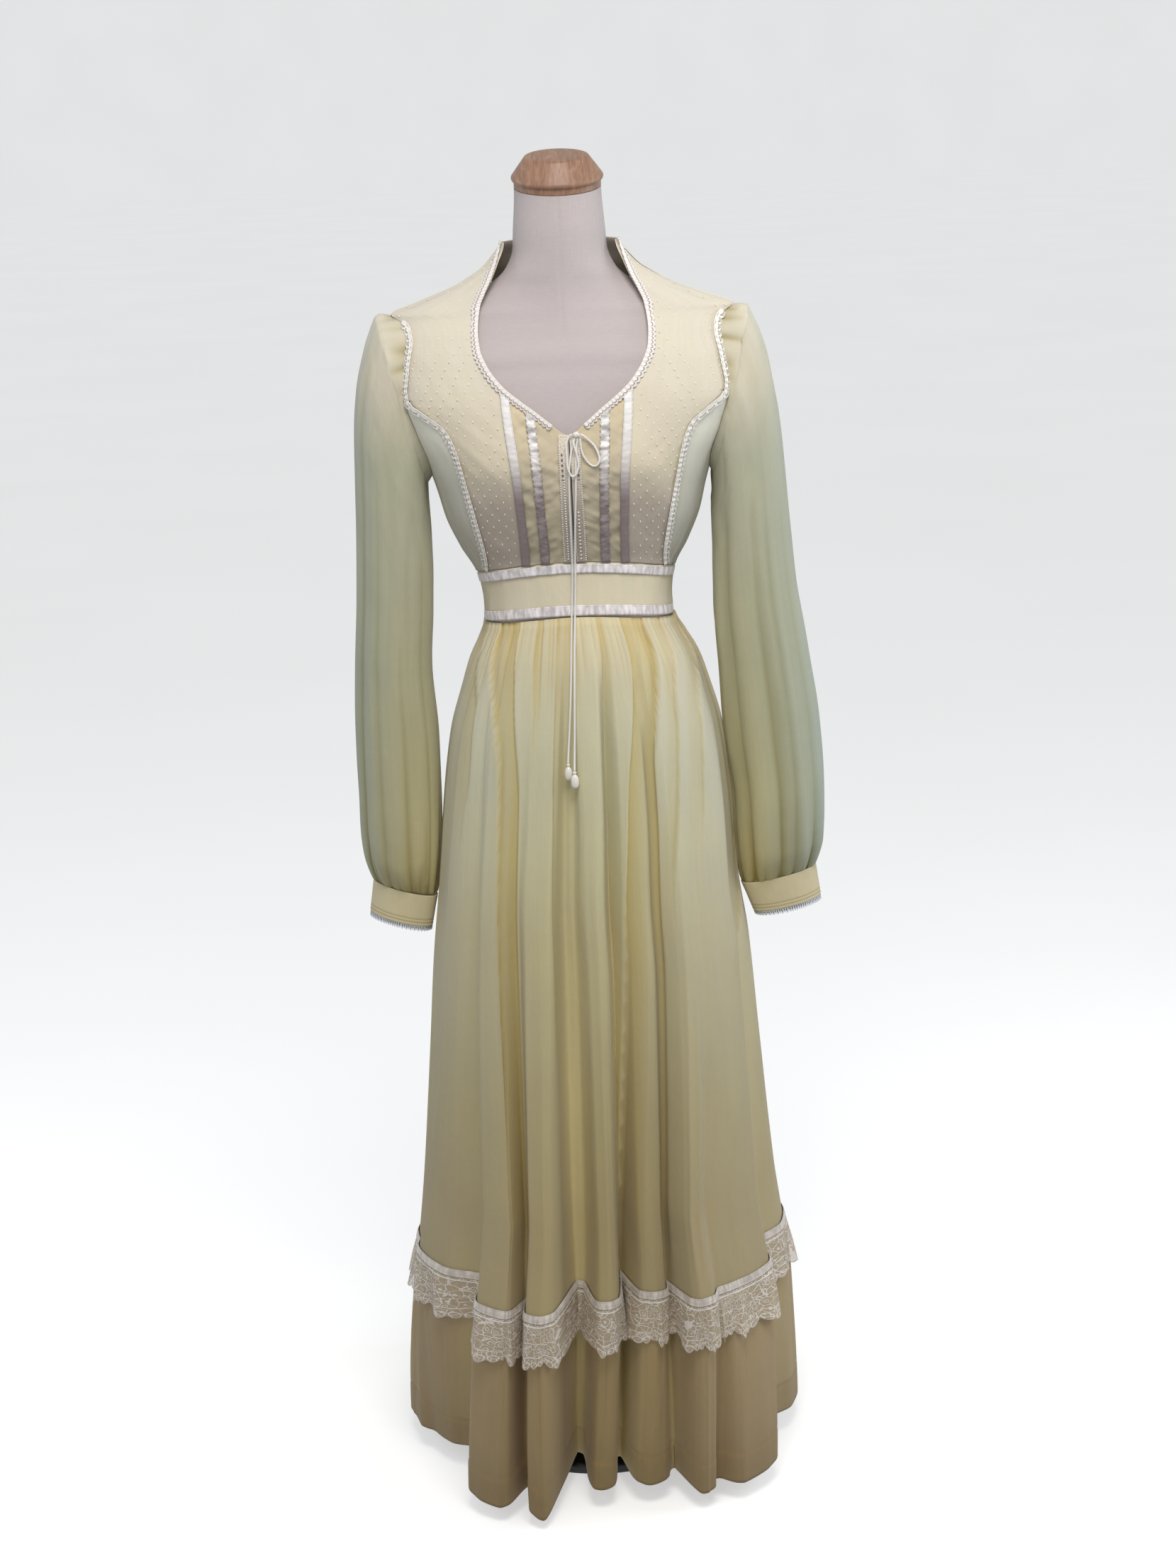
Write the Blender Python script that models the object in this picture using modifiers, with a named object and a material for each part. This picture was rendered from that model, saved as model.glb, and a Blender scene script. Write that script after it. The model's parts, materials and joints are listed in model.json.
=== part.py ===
# Maxi dress on a limbless dress form, at its real size.
# Metres, +Z up. The dress faces -Y. Pieces named right lie at +X, as seen from the front.
# The origin is the middle of the stand's underside.

import math

import bpy
import bmesh
from mathutils import Matrix, Vector

COLLECTION = "maxi_dress_on_dress_form"

# Walls and clearances
CLOTH_WALL = 0.0012
TRIM_WALL = 0.0010
SEAM_GAP = 0.0003
CLOTH_OUT = 0.0005          # inner face of the bodice above the fitting surface
TRIM_OUT = 0.0024           # inner face of a ribbon or tape above the same surface
NECK_LACE_OUT = 0.0038      # the neckline lace lies over the ribbons' upper ends
ARMHOLE_OUT = 0.0009        # the sleeve starts this far off the panels' outer face
FORM_INSET = 0.0040         # the torso lies this far inside the fitting surface

# Heights at the side seams
SKIRT_TOP = 1.0085
MIDRIFF_ROWS = [1.0095, 1.0205, 1.0370, 1.0540, 1.0650]
BODICE_BOTTOM = 1.0662
COLLAR_TOP = 1.4285
FLOUNCE_SEAM = 0.2620

# Armhole, an ellipse seen from the side
ARMHOLE_MID = 1.2640
ARMHOLE_HALF_HEIGHT = 0.0890
ARMHOLE_HALF_DEPTH = 0.0550
SLEEVE_SAMPLES = 24

# Trims
RIBBON_WIDTH = 0.0095
NECK_LACE_WIDTH = 0.0085
YOKE_LACE_WIDTH = 0.0080
YOKE_CORNER = (1.250, 1.276)
WAIST_RIBBON_EDGE = 0.0005
TAPE_INNER = 0.0020
TAPE_OUTER = 0.0140

# Form and stand
FORM_COLUMNS = 32
WAIST_STEP = 0.0025
BASE_RADIUS = 0.150
BASE_HEIGHT = 0.016
POLE_RADIUS = 0.0140
TORSO_BOTTOM = 0.760
NECK_TOP = 1.4870
CAP_TILT = math.radians(11.0)
CAP_GAP = 0.0004

# Fitting surface of the dress above the waist:
# height, half width, front depth, back depth, roundness
BODY = [
    (1.0000, 0.1065, 0.0810, 0.0770, 2.15),
    (1.0300, 0.1060, 0.0805, 0.0770, 2.15),
    (1.0500, 0.1080, 0.0810, 0.0775, 2.15),
    (1.0662, 0.1120, 0.0830, 0.0785, 2.15),
    (1.0950, 0.1280, 0.0930, 0.0830, 2.20),
    (1.1277, 0.1425, 0.1040, 0.0900, 2.20),
    (1.1600, 0.1505, 0.1110, 0.0970, 2.20),
    (1.1900, 0.1590, 0.1140, 0.1020, 2.30),
    (1.2300, 0.1775, 0.1090, 0.1060, 2.60),
    (1.2640, 0.1895, 0.1010, 0.1080, 2.80),
    (1.3000, 0.1905, 0.0880, 0.1050, 2.60),
    (1.3300, 0.1915, 0.0700, 0.0990, 2.20),
    (1.3530, 0.1900, 0.0510, 0.0900, 2.00),
    (1.3640, 0.1630, 0.0470, 0.0860, 2.00),
    (1.3730, 0.1390, 0.0450, 0.0820, 2.00),
    (1.3810, 0.1190, 0.0440, 0.0780, 2.00),
    (1.3900, 0.1030, 0.0425, 0.0730, 2.00),
    (1.4000, 0.0870, 0.0425, 0.0685, 2.00),
    (1.4110, 0.0760, 0.0430, 0.0655, 2.00),
    (1.4285, 0.0635, 0.0450, 0.0630, 2.00),
]

# The bare form above the dress line and below the waist, same columns
FORM = [
    (0.7600, 0.1380, 0.0980, 0.1050, 2.20),
    (0.8400, 0.1450, 0.1020, 0.1120, 2.20),
    (0.9300, 0.1290, 0.0980, 0.1020, 2.15),
    (1.0000, 0.1065, 0.0810, 0.0770, 2.15),
]
FORM_TOP = [
    (1.3000, 0.1905, 0.0880, 0.1050, 2.60),
    (1.3300, 0.1900, 0.0730, 0.0980, 1.70),
    (1.3530, 0.1820, 0.0640, 0.0880, 1.35),
    (1.3630, 0.1460, 0.0610, 0.0800, 1.35),
    (1.3730, 0.1120, 0.0585, 0.0730, 1.45),
    (1.3850, 0.0820, 0.0565, 0.0660, 1.70),
    (1.4000, 0.0650, 0.0555, 0.0600, 2.00),
    (1.4200, 0.0565, 0.0550, 0.0560, 2.00),
    (1.4400, 0.0550, 0.0545, 0.0545, 2.00),
    (1.4870, 0.0520, 0.0520, 0.0520, 2.00),
]

# Bust: height, distance from the middle, reach, and spread of each rise
BUST = {"height": 1.186, "side": 0.072, "rise": 0.0075, "spread_z": 0.046, "spread_x": 0.040}

# How far the whole dress leans to +X: height, lean
LEAN = [
    (0.030, 0.0030), (0.260, 0.0070), (0.620, 0.0085), (0.700, 0.0070), (0.800, 0.0090),
    (0.950, 0.0100), (1.020, 0.0065), (1.100, 0.0045), (1.200, 0.0030), (1.400, 0.0000),
]

# How far the waist rises at the middle of the front: height, rise
WAIST_RISE = [
    (0.900, 0.0), (1.000, 0.0120), (1.060, 0.0175), (1.160, 0.0060), (1.230, 0.0),
]

# Neckline from the middle of the front to the collar's top: step, half width, height
NECKLINE = [
    (0.0, 0.0020, 1.2275), (1.0, 0.0190, 1.2390), (2.0, 0.0360, 1.2525), (3.0, 0.0520, 1.2645),
    (4.0, 0.0690, 1.2790), (5.0, 0.0840, 1.2990), (6.0, 0.0915, 1.3170), (7.0, 0.0930, 1.3350),
    (8.0, 0.0900, 1.3600), (9.0, 0.0840, 1.3740), (10.0, 0.0760, 1.3890), (11.0, 0.0690, 1.4050),
    (12.0, 0.0610, 1.4285),
]

# Princess seam below the armhole: height, half width
PRINCESS = [
    (1.0662, 0.1000), (1.1330, 0.1095), (1.1520, 0.1130), (1.1820, 0.1190), (1.2000, 0.1230),
    (1.2320, 0.1350), (1.2520, 0.1600), (1.2640, 0.1710),
]

# Vertical ribbons: height, outer ribbon, inner ribbon
RIBBON_LINES = [
    (1.0662, 0.0545, 0.0330), (1.1700, 0.0580, 0.0360), (1.2800, 0.0670, 0.0415),
]

# Rows of the bodice grids above the armpit follow the armhole's samples
LOWER_ROWS = [BODICE_BOTTOM, 1.0800, 1.0950, 1.1120, 1.1300, 1.1520]
UPPER_ROWS = [1.3640, 1.3730, 1.3810]
COLLAR_ROWS = [1.3816, 1.3900, 1.4000, 1.4110, COLLAR_TOP]

# Sleeve rings: step, right outer x, right inner x, left outer x, left inner x,
# outer height, inner height, half depth
SLEEVE = [
    (1.0, 0.2050, 0.1640, 0.2030, 0.1580, 1.3500, 1.1660, 0.0565),
    (2.0, 0.2200, 0.1645, 0.2170, 0.1580, 1.3200, 1.1500, 0.0560),
    (3.0, 0.2325, 0.1635, 0.2305, 0.1575, 1.2700, 1.1330, 0.0545),
    (4.0, 0.2400, 0.1630, 0.2365, 0.1570, 1.2100, 1.1120, 0.0520),
    (5.0, 0.2455, 0.1625, 0.2395, 0.1570, 1.1300, 1.0750, 0.0490),
    (6.0, 0.2540, 0.1620, 0.2450, 0.1600, 1.0400, 1.0150, 0.0470),
    (7.0, 0.2660, 0.1650, 0.2515, 0.1640, 0.9600, 0.9500, 0.0480),
    (8.0, 0.2770, 0.1735, 0.2552, 0.1660, 0.8800, 0.8750, 0.0500),
    (9.0, 0.2815, 0.1835, 0.2555, 0.1690, 0.8000, 0.7950, 0.0500),
    (10.0, 0.2800, 0.1875, 0.2530, 0.1735, 0.7350, 0.7200, 0.0420),
    (11.0, 0.2725, 0.1895, 0.2440, 0.1755, 0.7020, 0.6830, 0.0250),
]
CUFFS = {
    "right": {"top": (0.2725, 0.1895, 0.7010, 0.6815), "bottom": (0.2775, 0.2000, 0.6655, 0.6485)},
    "left": {"top": (0.2440, 0.1755, 0.7010, 0.6790), "bottom": (0.2495, 0.1795, 0.6650, 0.6440)},
}
CUFF_DEPTH = 0.0250
CUFF_LACE = 0.0060

# Skirt envelope: height, half width, front depth, back depth
SKIRT = [
    (0.0300, 0.2360, 0.2300, 0.2250), (0.1860, 0.2295, 0.2220, 0.2150),
    (0.3350, 0.2110, 0.2050, 0.1980), (0.4800, 0.1980, 0.1880, 0.1820),
    (0.6220, 0.1860, 0.1720, 0.1690), (0.7000, 0.1750, 0.1600, 0.1600),
    (0.8000, 0.1670, 0.1435, 0.1480),
    (0.8800, 0.1560, 0.1284, 0.1350), (0.9305, 0.1410, 0.1145, 0.1170),
    (0.9639, 0.1290, 0.1045, 0.1020), (0.9900, 0.1150, 0.0920, 0.0880),
    (1.0085, 0.1082, 0.0838, 0.0798),
]

# Folds of the skirt, ridge and hollow in turn, from one side seam round the front and back:
# angle from the front, radius and height at the hem, then angle and radius at the flounce seam
FOLDS = [
    (-90.0, 0.236, 0.030, -90.0, 0.2165), (-78.0, 0.234, 0.030, -78.0, 0.2210),
    (-66.0, 0.219, 0.031, -66.0, 0.2290), (-47.0, 0.196, 0.032, -41.0, 0.2080),
    (-26.5, 0.280, 0.020, -23.6, 0.2790), (-22.4, 0.236, 0.026, -21.8, 0.2380),
    (-15.3, 0.281, 0.013, -15.3, 0.2820), (-13.0, 0.152, 0.032, -9.8, 0.1820),
    (-1.5, 0.232, 0.026, 1.0, 0.2410), (5.3, 0.165, 0.031, 7.0, 0.1560),
    (13.0, 0.228, 0.026, 15.5, 0.2270), (22.3, 0.208, 0.030, 21.0, 0.2010),
    (25.0, 0.264, 0.022, 24.5, 0.2660), (31.0, 0.250, 0.026, 31.5, 0.2490),
    (36.5, 0.272, 0.024, 40.0, 0.2480), (62.0, 0.207, 0.032, 66.0, 0.2030),
    (90.0, 0.2365, 0.030, 90.0, 0.2195), (101.0, 0.212, 0.032, 101.0, 0.2018),
    (113.0, 0.240, 0.028, 113.0, 0.2230), (124.0, 0.188, 0.032, 124.0, 0.1814),
    (136.0, 0.246, 0.027, 136.0, 0.2257), (146.0, 0.184, 0.031, 146.0, 0.1762),
    (157.0, 0.244, 0.026, 157.0, 0.2225), (167.0, 0.178, 0.031, 167.0, 0.1703),
    (177.0, 0.242, 0.027, 177.0, 0.2202), (187.0, 0.176, 0.032, 187.0, 0.1685),
    (198.0, 0.246, 0.028, 198.0, 0.2238), (209.0, 0.188, 0.031, 209.0, 0.1790),
    (221.0, 0.238, 0.027, 221.0, 0.2192), (233.0, 0.192, 0.032, 233.0, 0.1842),
    (245.0, 0.243, 0.028, 245.0, 0.2252), (257.0, 0.214, 0.031, 257.0, 0.2033),
    (270.0, 0.236, 0.030, 270.0, 0.2165),
]
FRONT_FOLDS = 16            # fold steps in the front half
CENTRE_BACK = 24            # the step of the skirt's centre back seam
FOLD_SAMPLES = 3            # grid columns in each fold step
GATHER_DEPTH = 0.0022       # gathers at the waist seam, one to each fold step
RIDGE_START = 0.06          # part of the fall from the waist where the ridges begin
RIDGE_GROWTH = 1.15         # how the ridges rise from there to the flounce seam
HOLLOW_GROWTH = 0.60        # how the hollows deepen from the waist to the flounce seam
FACE = 0.70                 # how far a fold is a flat face with a steep wall, not a plain wave
SKIRT_ROWS = [0.2625, 0.4500, 0.7000, 0.8200, 0.9300, SKIRT_TOP]
FLOUNCE_ROWS = [0.0, 0.50, 1.0]
LACE_TOP = 0.2560
LACE_BOTTOM = 0.2080
HEADING_HALF = 0.0050
LACE_OUT = 0.0029
LACE_FLARE = 0.0025
HEADING_OUT = 0.0029

# Tie: routes of the two hanging strands and the two loops of the bow, from the knot
CORD_RADIUS = 0.00115
CORD_BEVEL = 2
STRANDS = {
    "left": [
        (0.0093, -0.1168, 1.2246), (0.0068, -0.1174, 1.2170), (0.0045, -0.1181, 1.2090),
        (0.0020, -0.1192, 1.1900), (0.0010, -0.1158, 1.1600), (0.0012, -0.1058, 1.1250),
        (0.0014, -0.0906, 1.0867), (0.0012, -0.0874, 1.0700), (0.0003, -0.0852, 1.0500),
        (-0.0008, -0.0858, 1.0320), (-0.0017, -0.0894, 1.0150), (-0.0030, -0.0972, 0.9900),
        (-0.0050, -0.1098, 0.9490), (-0.0080, -0.1195, 0.9050), (-0.0100, -0.1262, 0.8820),
        (-0.0112, -0.1322, 0.8670),
    ],
    "right": [
        (0.0121, -0.1168, 1.2246), (0.0110, -0.1174, 1.2170), (0.0100, -0.1182, 1.2090),
        (0.0090, -0.1194, 1.1900), (0.0078, -0.1158, 1.1600), (0.0060, -0.1056, 1.1250),
        (0.0046, -0.0906, 1.0867), (0.0043, -0.0876, 1.0700), (0.0036, -0.0854, 1.0500),
        (0.0026, -0.0860, 1.0320), (0.0018, -0.0899, 1.0150), (0.0006, -0.0988, 0.9900),
        (-0.0010, -0.1124, 0.9490), (-0.0025, -0.1232, 0.9050), (-0.0036, -0.1318, 0.8780),
        (-0.0044, -0.1405, 0.8600),
    ],
}
LOOPS = {
    "left": [
        (0.0066, -0.1172, 1.2293), (0.0030, -0.1175, 1.2270), (0.0005, -0.1182, 1.2215),
        (-0.0005, -0.1192, 1.2150), (0.0000, -0.1206, 1.2040), (0.0003, -0.1217, 1.1945),
        (0.0030, -0.1223, 1.1865), (0.0060, -0.1223, 1.1843), (0.0100, -0.1223, 1.1880),
        (0.0122, -0.1221, 1.1970), (0.0110, -0.1219, 1.2060), (0.0090, -0.1215, 1.2140),
        (0.0075, -0.1207, 1.2200), (0.0073, -0.1197, 1.2240),
    ],
    "right": [
        (0.0150, -0.1172, 1.2290), (0.0195, -0.1166, 1.2262), (0.0250, -0.1166, 1.2215),
        (0.0300, -0.1174, 1.2160), (0.0338, -0.1192, 1.2080), (0.0350, -0.1202, 1.2010),
        (0.0325, -0.1202, 1.1955), (0.0280, -0.1192, 1.1945), (0.0235, -0.1184, 1.1975),
        (0.0187, -0.1182, 1.2040), (0.0162, -0.1180, 1.2110), (0.0152, -0.1182, 1.2180),
        (0.0148, -0.1184, 1.2244),
    ],
}
STRAND_SPANS = 23
LOOP_SPANS = 16
KNOT = {"place": (0.0108, -0.1171, 1.2286), "size": (0.0038, 0.0032, 0.0034)}
TIP_PROFILE = [
    (0.0, 0.0), (0.0013, -0.0004), (0.0022, -0.0018), (0.0013, -0.0036), (0.0030, -0.0056),
    (0.0046, -0.0105), (0.0044, -0.0155), (0.0030, -0.0190), (0.0, -0.0200),
]

# Colours: base colour, roughness, metallic
FINISHES = {
    "linen": ((0.62, 0.56, 0.55), 0.85, 0.0),
    "wood": ((0.52, 0.30, 0.19), 0.25, 0.0),
    "black_metal": ((0.012, 0.012, 0.013), 0.40, 0.8),
    "steel": ((0.45, 0.45, 0.46), 0.30, 1.0),
    "voile": ((0.74, 0.68, 0.44), 0.80, 0.0),
    "dotted_voile": ((0.76, 0.69, 0.50), 0.80, 0.0),
    "sleeve_voile": ((0.62, 0.63, 0.46), 0.80, 0.0),
    "satin": ((0.80, 0.76, 0.76), 0.35, 0.0),
    "lace": ((0.86, 0.84, 0.78), 0.85, 0.0),
    "cord": ((0.88, 0.86, 0.84), 0.60, 0.0),
    "bead": ((0.88, 0.86, 0.82), 0.30, 0.0),
}


# Reading the tables

def slope(rows, index, column):
    # Slope at a row that keeps the curve between its rows
    if index == 0 or index == len(rows) - 1:
        return 0.0
    below, here, above = rows[index - 1], rows[index], rows[index + 1]
    before = (here[column] - below[column]) / (here[0] - below[0])
    after = (above[column] - here[column]) / (above[0] - here[0])
    if before * after <= 0.0:
        return 0.0
    return 2.0 * before * after / (before + after)


def read(rows, key, column):
    # Value of a column at a key, on a smooth curve through the rows
    if key <= rows[0][0]:
        return rows[0][column]
    if key >= rows[-1][0]:
        return rows[-1][column]
    index = max(i for i in range(len(rows) - 1) if rows[i][0] <= key)
    low, high = rows[index], rows[index + 1]
    span = high[0] - low[0]
    t = (key - low[0]) / span
    start = slope(rows, index, column) * span
    end = slope(rows, index + 1, column) * span
    return ((2 * t**3 - 3 * t**2 + 1) * low[column] + (t**3 - 2 * t**2 + t) * start
            + (3 * t**2 - 2 * t**3) * high[column] + (t**3 - t**2) * end)


def mix(a, b, t):
    return a + (b - a) * t


def power(value, exponent):
    return math.copysign(abs(value) ** exponent, value)


# The fitting surface, by angle from the front and height

def section(table, angle, height, inset):
    half, front, back, roundness = (read(table, height, column) for column in (1, 2, 3, 4))
    depth = front if math.cos(angle) > 0.0 else back
    x = (half - inset) * power(math.sin(angle), 2.0 / roundness)
    y = -(depth - inset) * power(math.cos(angle), 2.0 / roundness)
    return x, y


def bust_rise(x, y, height):
    if y > 0.0:
        return 0.0
    across = math.exp(-((abs(x) - BUST["side"]) / BUST["spread_x"]) ** 2)
    along = math.exp(-((height - BUST["height"]) / BUST["spread_z"]) ** 2)
    return BUST["rise"] * across * along * min(1.0, -y / 0.03)


def waist_lift(angle, height):
    return read(WAIST_RISE, height, 1) * max(0.0, math.cos(angle)) ** 2


def lean_at(height):
    return read(LEAN, height, 1)


def fitted(angle, height):
    x, y = section(BODY, angle, height, 0.0)
    y -= bust_rise(x, y, height)
    return Vector((x + lean_at(height), y, height + waist_lift(angle, height)))


def steps_on_body(angle, height):
    # How the surface moves with the angle and with the height
    turn, climb = 0.01, 0.0015
    around = (fitted(angle + turn, height) - fitted(angle - turn, height)) / (2 * turn)
    up = (fitted(angle, height + climb) - fitted(angle, height - climb)) / (2 * climb)
    return around, up


def on_body(angle, height, out):
    around, up = steps_on_body(angle, height)
    return fitted(angle, height) + around.cross(up).normalized() * out


def angle_of_half_width(x, height):
    half, roundness = read(BODY, height, 1), read(BODY, height, 4)
    return math.asin(min(1.0, x / half) ** (roundness / 2.0))


def angle_of_armhole(height, front):
    rise = (height - ARMHOLE_MID) / ARMHOLE_HALF_HEIGHT
    y = ARMHOLE_HALF_DEPTH * math.sqrt(max(0.0, 1.0 - rise * rise))
    depth = read(BODY, height, 2 if front else 3)
    angle = math.acos((y / depth) ** (read(BODY, height, 4) / 2.0))
    return angle if front else math.pi - angle


def armhole_rows():
    quarter = SLEEVE_SAMPLES // 4
    turns = [math.radians(90.0 * k / quarter) for k in range(-quarter, quarter + 1)]
    return [ARMHOLE_MID + ARMHOLE_HALF_HEIGHT * math.sin(turn) for turn in turns]


# Building blocks

def material(finish):
    name = "finish_" + finish
    if name in bpy.data.materials:
        return bpy.data.materials[name]
    made = bpy.data.materials.new(name)
    made.use_nodes = True
    colour, roughness, metallic = FINISHES[finish]
    shader = made.node_tree.nodes["Principled BSDF"]
    shader.inputs["Base Color"].default_value = colour + (1.0,)
    shader.inputs["Roughness"].default_value = roughness
    shader.inputs["Metallic"].default_value = metallic
    made.diffuse_color = colour + (1.0,)
    return made


def place_in_collection(piece, finish):
    collection = bpy.data.collections[COLLECTION]
    for other in list(piece.users_collection):
        other.objects.unlink(piece)
    collection.objects.link(piece)
    piece.data.materials.append(material(finish))
    return piece


def mesh_object(name, bm, finish):
    mesh = bpy.data.meshes.new(name)
    bm.to_mesh(mesh)
    bm.free()
    mesh.shade_smooth()
    mesh.set_sharp_from_angle(angle=math.radians(50.0))
    return place_in_collection(bpy.data.objects.new(name, mesh), finish)


def grid(columns, rows, place, closed=False, flip=False):
    # A grid of columns by rows whose points come from place(u, row)
    bm = bmesh.new()
    bmesh.ops.create_grid(bm, x_segments=columns, y_segments=rows, size=0.5)
    for vertex in bm.verts:
        u = round((vertex.co.x + 0.5) * columns) / columns
        row = round((vertex.co.y + 0.5) * rows)
        vertex.co = place(u, row)
    if closed:
        bmesh.ops.remove_doubles(bm, verts=bm.verts, dist=0.00002)
    if flip:
        bmesh.ops.reverse_faces(bm, faces=bm.faces)
    return bm


def cloth(name, bm, finish, wall=CLOTH_WALL):
    piece = mesh_object(name, bm, finish)
    shell = piece.modifiers.new("wall", "SOLIDIFY")
    shell.thickness = wall
    shell.offset = 1.0
    return piece


def body_panel(name, heights, inner, outer, columns, finish, side, out=CLOTH_OUT, wall=CLOTH_WALL):
    # A panel between two edges, each an angle at a height, on one side of the middle
    def place(u, row):
        height = heights[row]
        angle = mix(inner(height), outer(height), u)
        if u in (0.0, 1.0):
            around = steps_on_body(angle, height)[0]
            angle += (0.5 - u) * SEAM_GAP / around.length
        return on_body(side * angle, height, out)

    return cloth(name, grid(columns, len(heights) - 1, place, flip=side < 0), finish, wall)


def body_band(name, line, steps, near, far, finish, side, columns=1, out=TRIM_OUT):
    # A band along a line on the body, from near to far beside the line
    def place(u, row):
        step = row / steps
        angle, height = line(step)
        later, above = line(min(1.0, step + 0.01))
        sooner, below = line(max(0.0, step - 0.01))
        around, up = steps_on_body(angle, height)
        run = Vector(((later - sooner) * around.length, (above - below) * up.length))
        run.normalize()
        shift = mix(near, far, u)
        return on_body(side * (angle + shift * run.y / around.length),
                       height - shift * run.x / up.length, out)

    return cloth(name, grid(columns, steps, place, flip=side < 0), finish, TRIM_WALL)


def turned(name, profile, steps, finish):
    # A turned solid from a profile of radius and height, top to bottom
    bm = bmesh.new()
    points = [bm.verts.new((radius, 0.0, height)) for radius, height in profile]
    for first, second in zip(points, points[1:]):
        bm.edges.new((first, second))
    piece = mesh_object(name, bm, finish)
    screw = piece.modifiers.new("turn", "SCREW")
    screw.steps = steps
    screw.render_steps = steps
    screw.use_merge_vertices = True
    screw.merge_threshold = 0.00001
    screw.use_smooth_shade = True
    return piece


def cord(name, points, finish, radius=CORD_RADIUS):
    curve = bpy.data.curves.new(name, "CURVE")
    curve.dimensions = "3D"
    curve.bevel_depth = radius
    curve.bevel_resolution = CORD_BEVEL
    curve.use_fill_caps = True
    spline = curve.splines.new("POLY")
    spline.points.add(len(points) - 1)
    for spot, point in zip(spline.points, points):
        spot.co = (*point, 1.0)
    return place_in_collection(bpy.data.objects.new(name, curve), finish)


def smooth_route(points, count):
    # Points at even steps on a smooth curve through a route
    ends = [points[0] * 2 - points[1]] + points + [points[-1] * 2 - points[-2]]
    made = []
    for number in range(count + 1):
        place = number / count * (len(points) - 1)
        index = min(int(place), len(points) - 2)
        t = place - index
        a, b, c, d = ends[index:index + 4]
        made.append(0.5 * (2 * b + (c - a) * t + (2 * a - 5 * b + 4 * c - d) * t**2
                           + (3 * b - a - 3 * c + d) * t**3))
    return made


# The dress form

def form_lean(height):
    # The form stands straight on its pole and follows the dress from the waist up
    return lean_at(height) * min(1.0, max(0.0, (height - TORSO_BOTTOM) / 0.22))


def form_point(angle, height):
    if height < FORM[-1][0]:
        table = FORM
    elif height <= FORM_TOP[0][0]:
        table = BODY
    else:
        table = FORM_TOP
    at_waist = MIDRIFF_ROWS[0] <= height <= MIDRIFF_ROWS[-1]
    inset = 0.0 if at_waist else FORM_INSET
    x, y = section(table, angle, height, inset)
    if table is BODY:
        y -= bust_rise(x, y, height)
    tilt = min(1.0, max(0.0, (height - 1.44) / (NECK_TOP - 1.44)))
    z = height + waist_lift(angle, height) + tilt * y * math.tan(CAP_TILT)
    return Vector((x + form_lean(height), y, z))


def build_form():
    heights = ([TORSO_BOTTOM, 0.8400, 0.9100, 0.9700, MIDRIFF_ROWS[0] - WAIST_STEP] + MIDRIFF_ROWS
               + [MIDRIFF_ROWS[-1] + WAIST_STEP, 1.0950, 1.1277, 1.1600, 1.1900, 1.2300, 1.2640,
                  1.3000, 1.3300, 1.3530, 1.3630, 1.3730, 1.3850, 1.4000, 1.4200, 1.4400, NECK_TOP])

    def place(u, row):
        return form_point(math.tau * u - math.pi / 2, heights[row])

    bm = grid(FORM_COLUMNS, len(heights) - 1, place, closed=True)
    rims = [edge for edge in bm.edges if edge.is_boundary]
    bmesh.ops.holes_fill(bm, edges=rims, sides=0)
    bmesh.ops.recalc_face_normals(bm, faces=bm.faces)
    mesh_object("form_torso", bm, "linen")

    cap = turned("form_neck_cap", [(0.0, 0.0335), (0.0345, 0.0330), (0.0360, 0.0320), (0.0500, 0.0125),
                                   (0.0508, 0.0105), (0.0500, 0.0080), (0.0480, 0.0065),
                                   (0.0480, 0.0005), (0.0475, 0.0), (0.0, 0.0)], 28, "wood")
    lift = Vector((form_lean(NECK_TOP), 0.0, NECK_TOP + CAP_GAP))
    cap.matrix_world = Matrix.Translation(lift) @ Matrix.Rotation(CAP_TILT, 4, "X")

    pole_bottom = BASE_HEIGHT + SEAM_GAP
    pole_top = TORSO_BOTTOM - SEAM_GAP
    bm = bmesh.new()
    bmesh.ops.create_cone(bm, cap_ends=True, segments=16, radius1=POLE_RADIUS, radius2=POLE_RADIUS,
                          depth=pole_top - pole_bottom)
    pole = mesh_object("form_pole", bm, "steel")
    pole.location = (0.0, 0.0, (pole_top + pole_bottom) / 2)

    turned("form_base", [(0.0, BASE_HEIGHT), (0.140, 0.0145), (0.147, 0.0125), (BASE_RADIUS, 0.0090),
                         (BASE_RADIUS, 0.0030), (0.1475, 0.0), (0.0, 0.0)], 40, "black_metal")


# The bodice

def ribbon_edge(column):
    def edge(height):
        return angle_of_half_width(read(RIBBON_LINES, height, column), height)
    return edge


def neckline(step):
    row = step * NECKLINE[-1][0]
    height = read(NECKLINE, row, 2)
    return angle_of_half_width(read(NECKLINE, row, 1), height), height


def neckline_half_width(height):
    by_height = [(row[2], row[1]) for row in NECKLINE]
    return read(by_height, height, 1)


def neckline_height(x):
    rising = [(row[1], row[2]) for row in NECKLINE if row[2] < 1.33]
    return read(rising, x, 1)


def princess_edge(height):
    if height > PRINCESS[-1][0] + 0.001:
        return angle_of_armhole(height, True) if height < 1.3529 else math.pi / 2
    return angle_of_half_width(read(PRINCESS, height, 1), height)


def front_inner_edge(height):
    if height > 1.2775:
        return angle_of_half_width(neckline_half_width(height), height)
    return ribbon_edge(1)(height)


def side_edge(height):
    return math.pi / 2 if height < 1.1751 else angle_of_armhole(height, True)


def back_side_edge(height):
    if 1.1751 < height < 1.3529:
        return angle_of_armhole(height, False)
    return math.pi / 2


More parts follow.
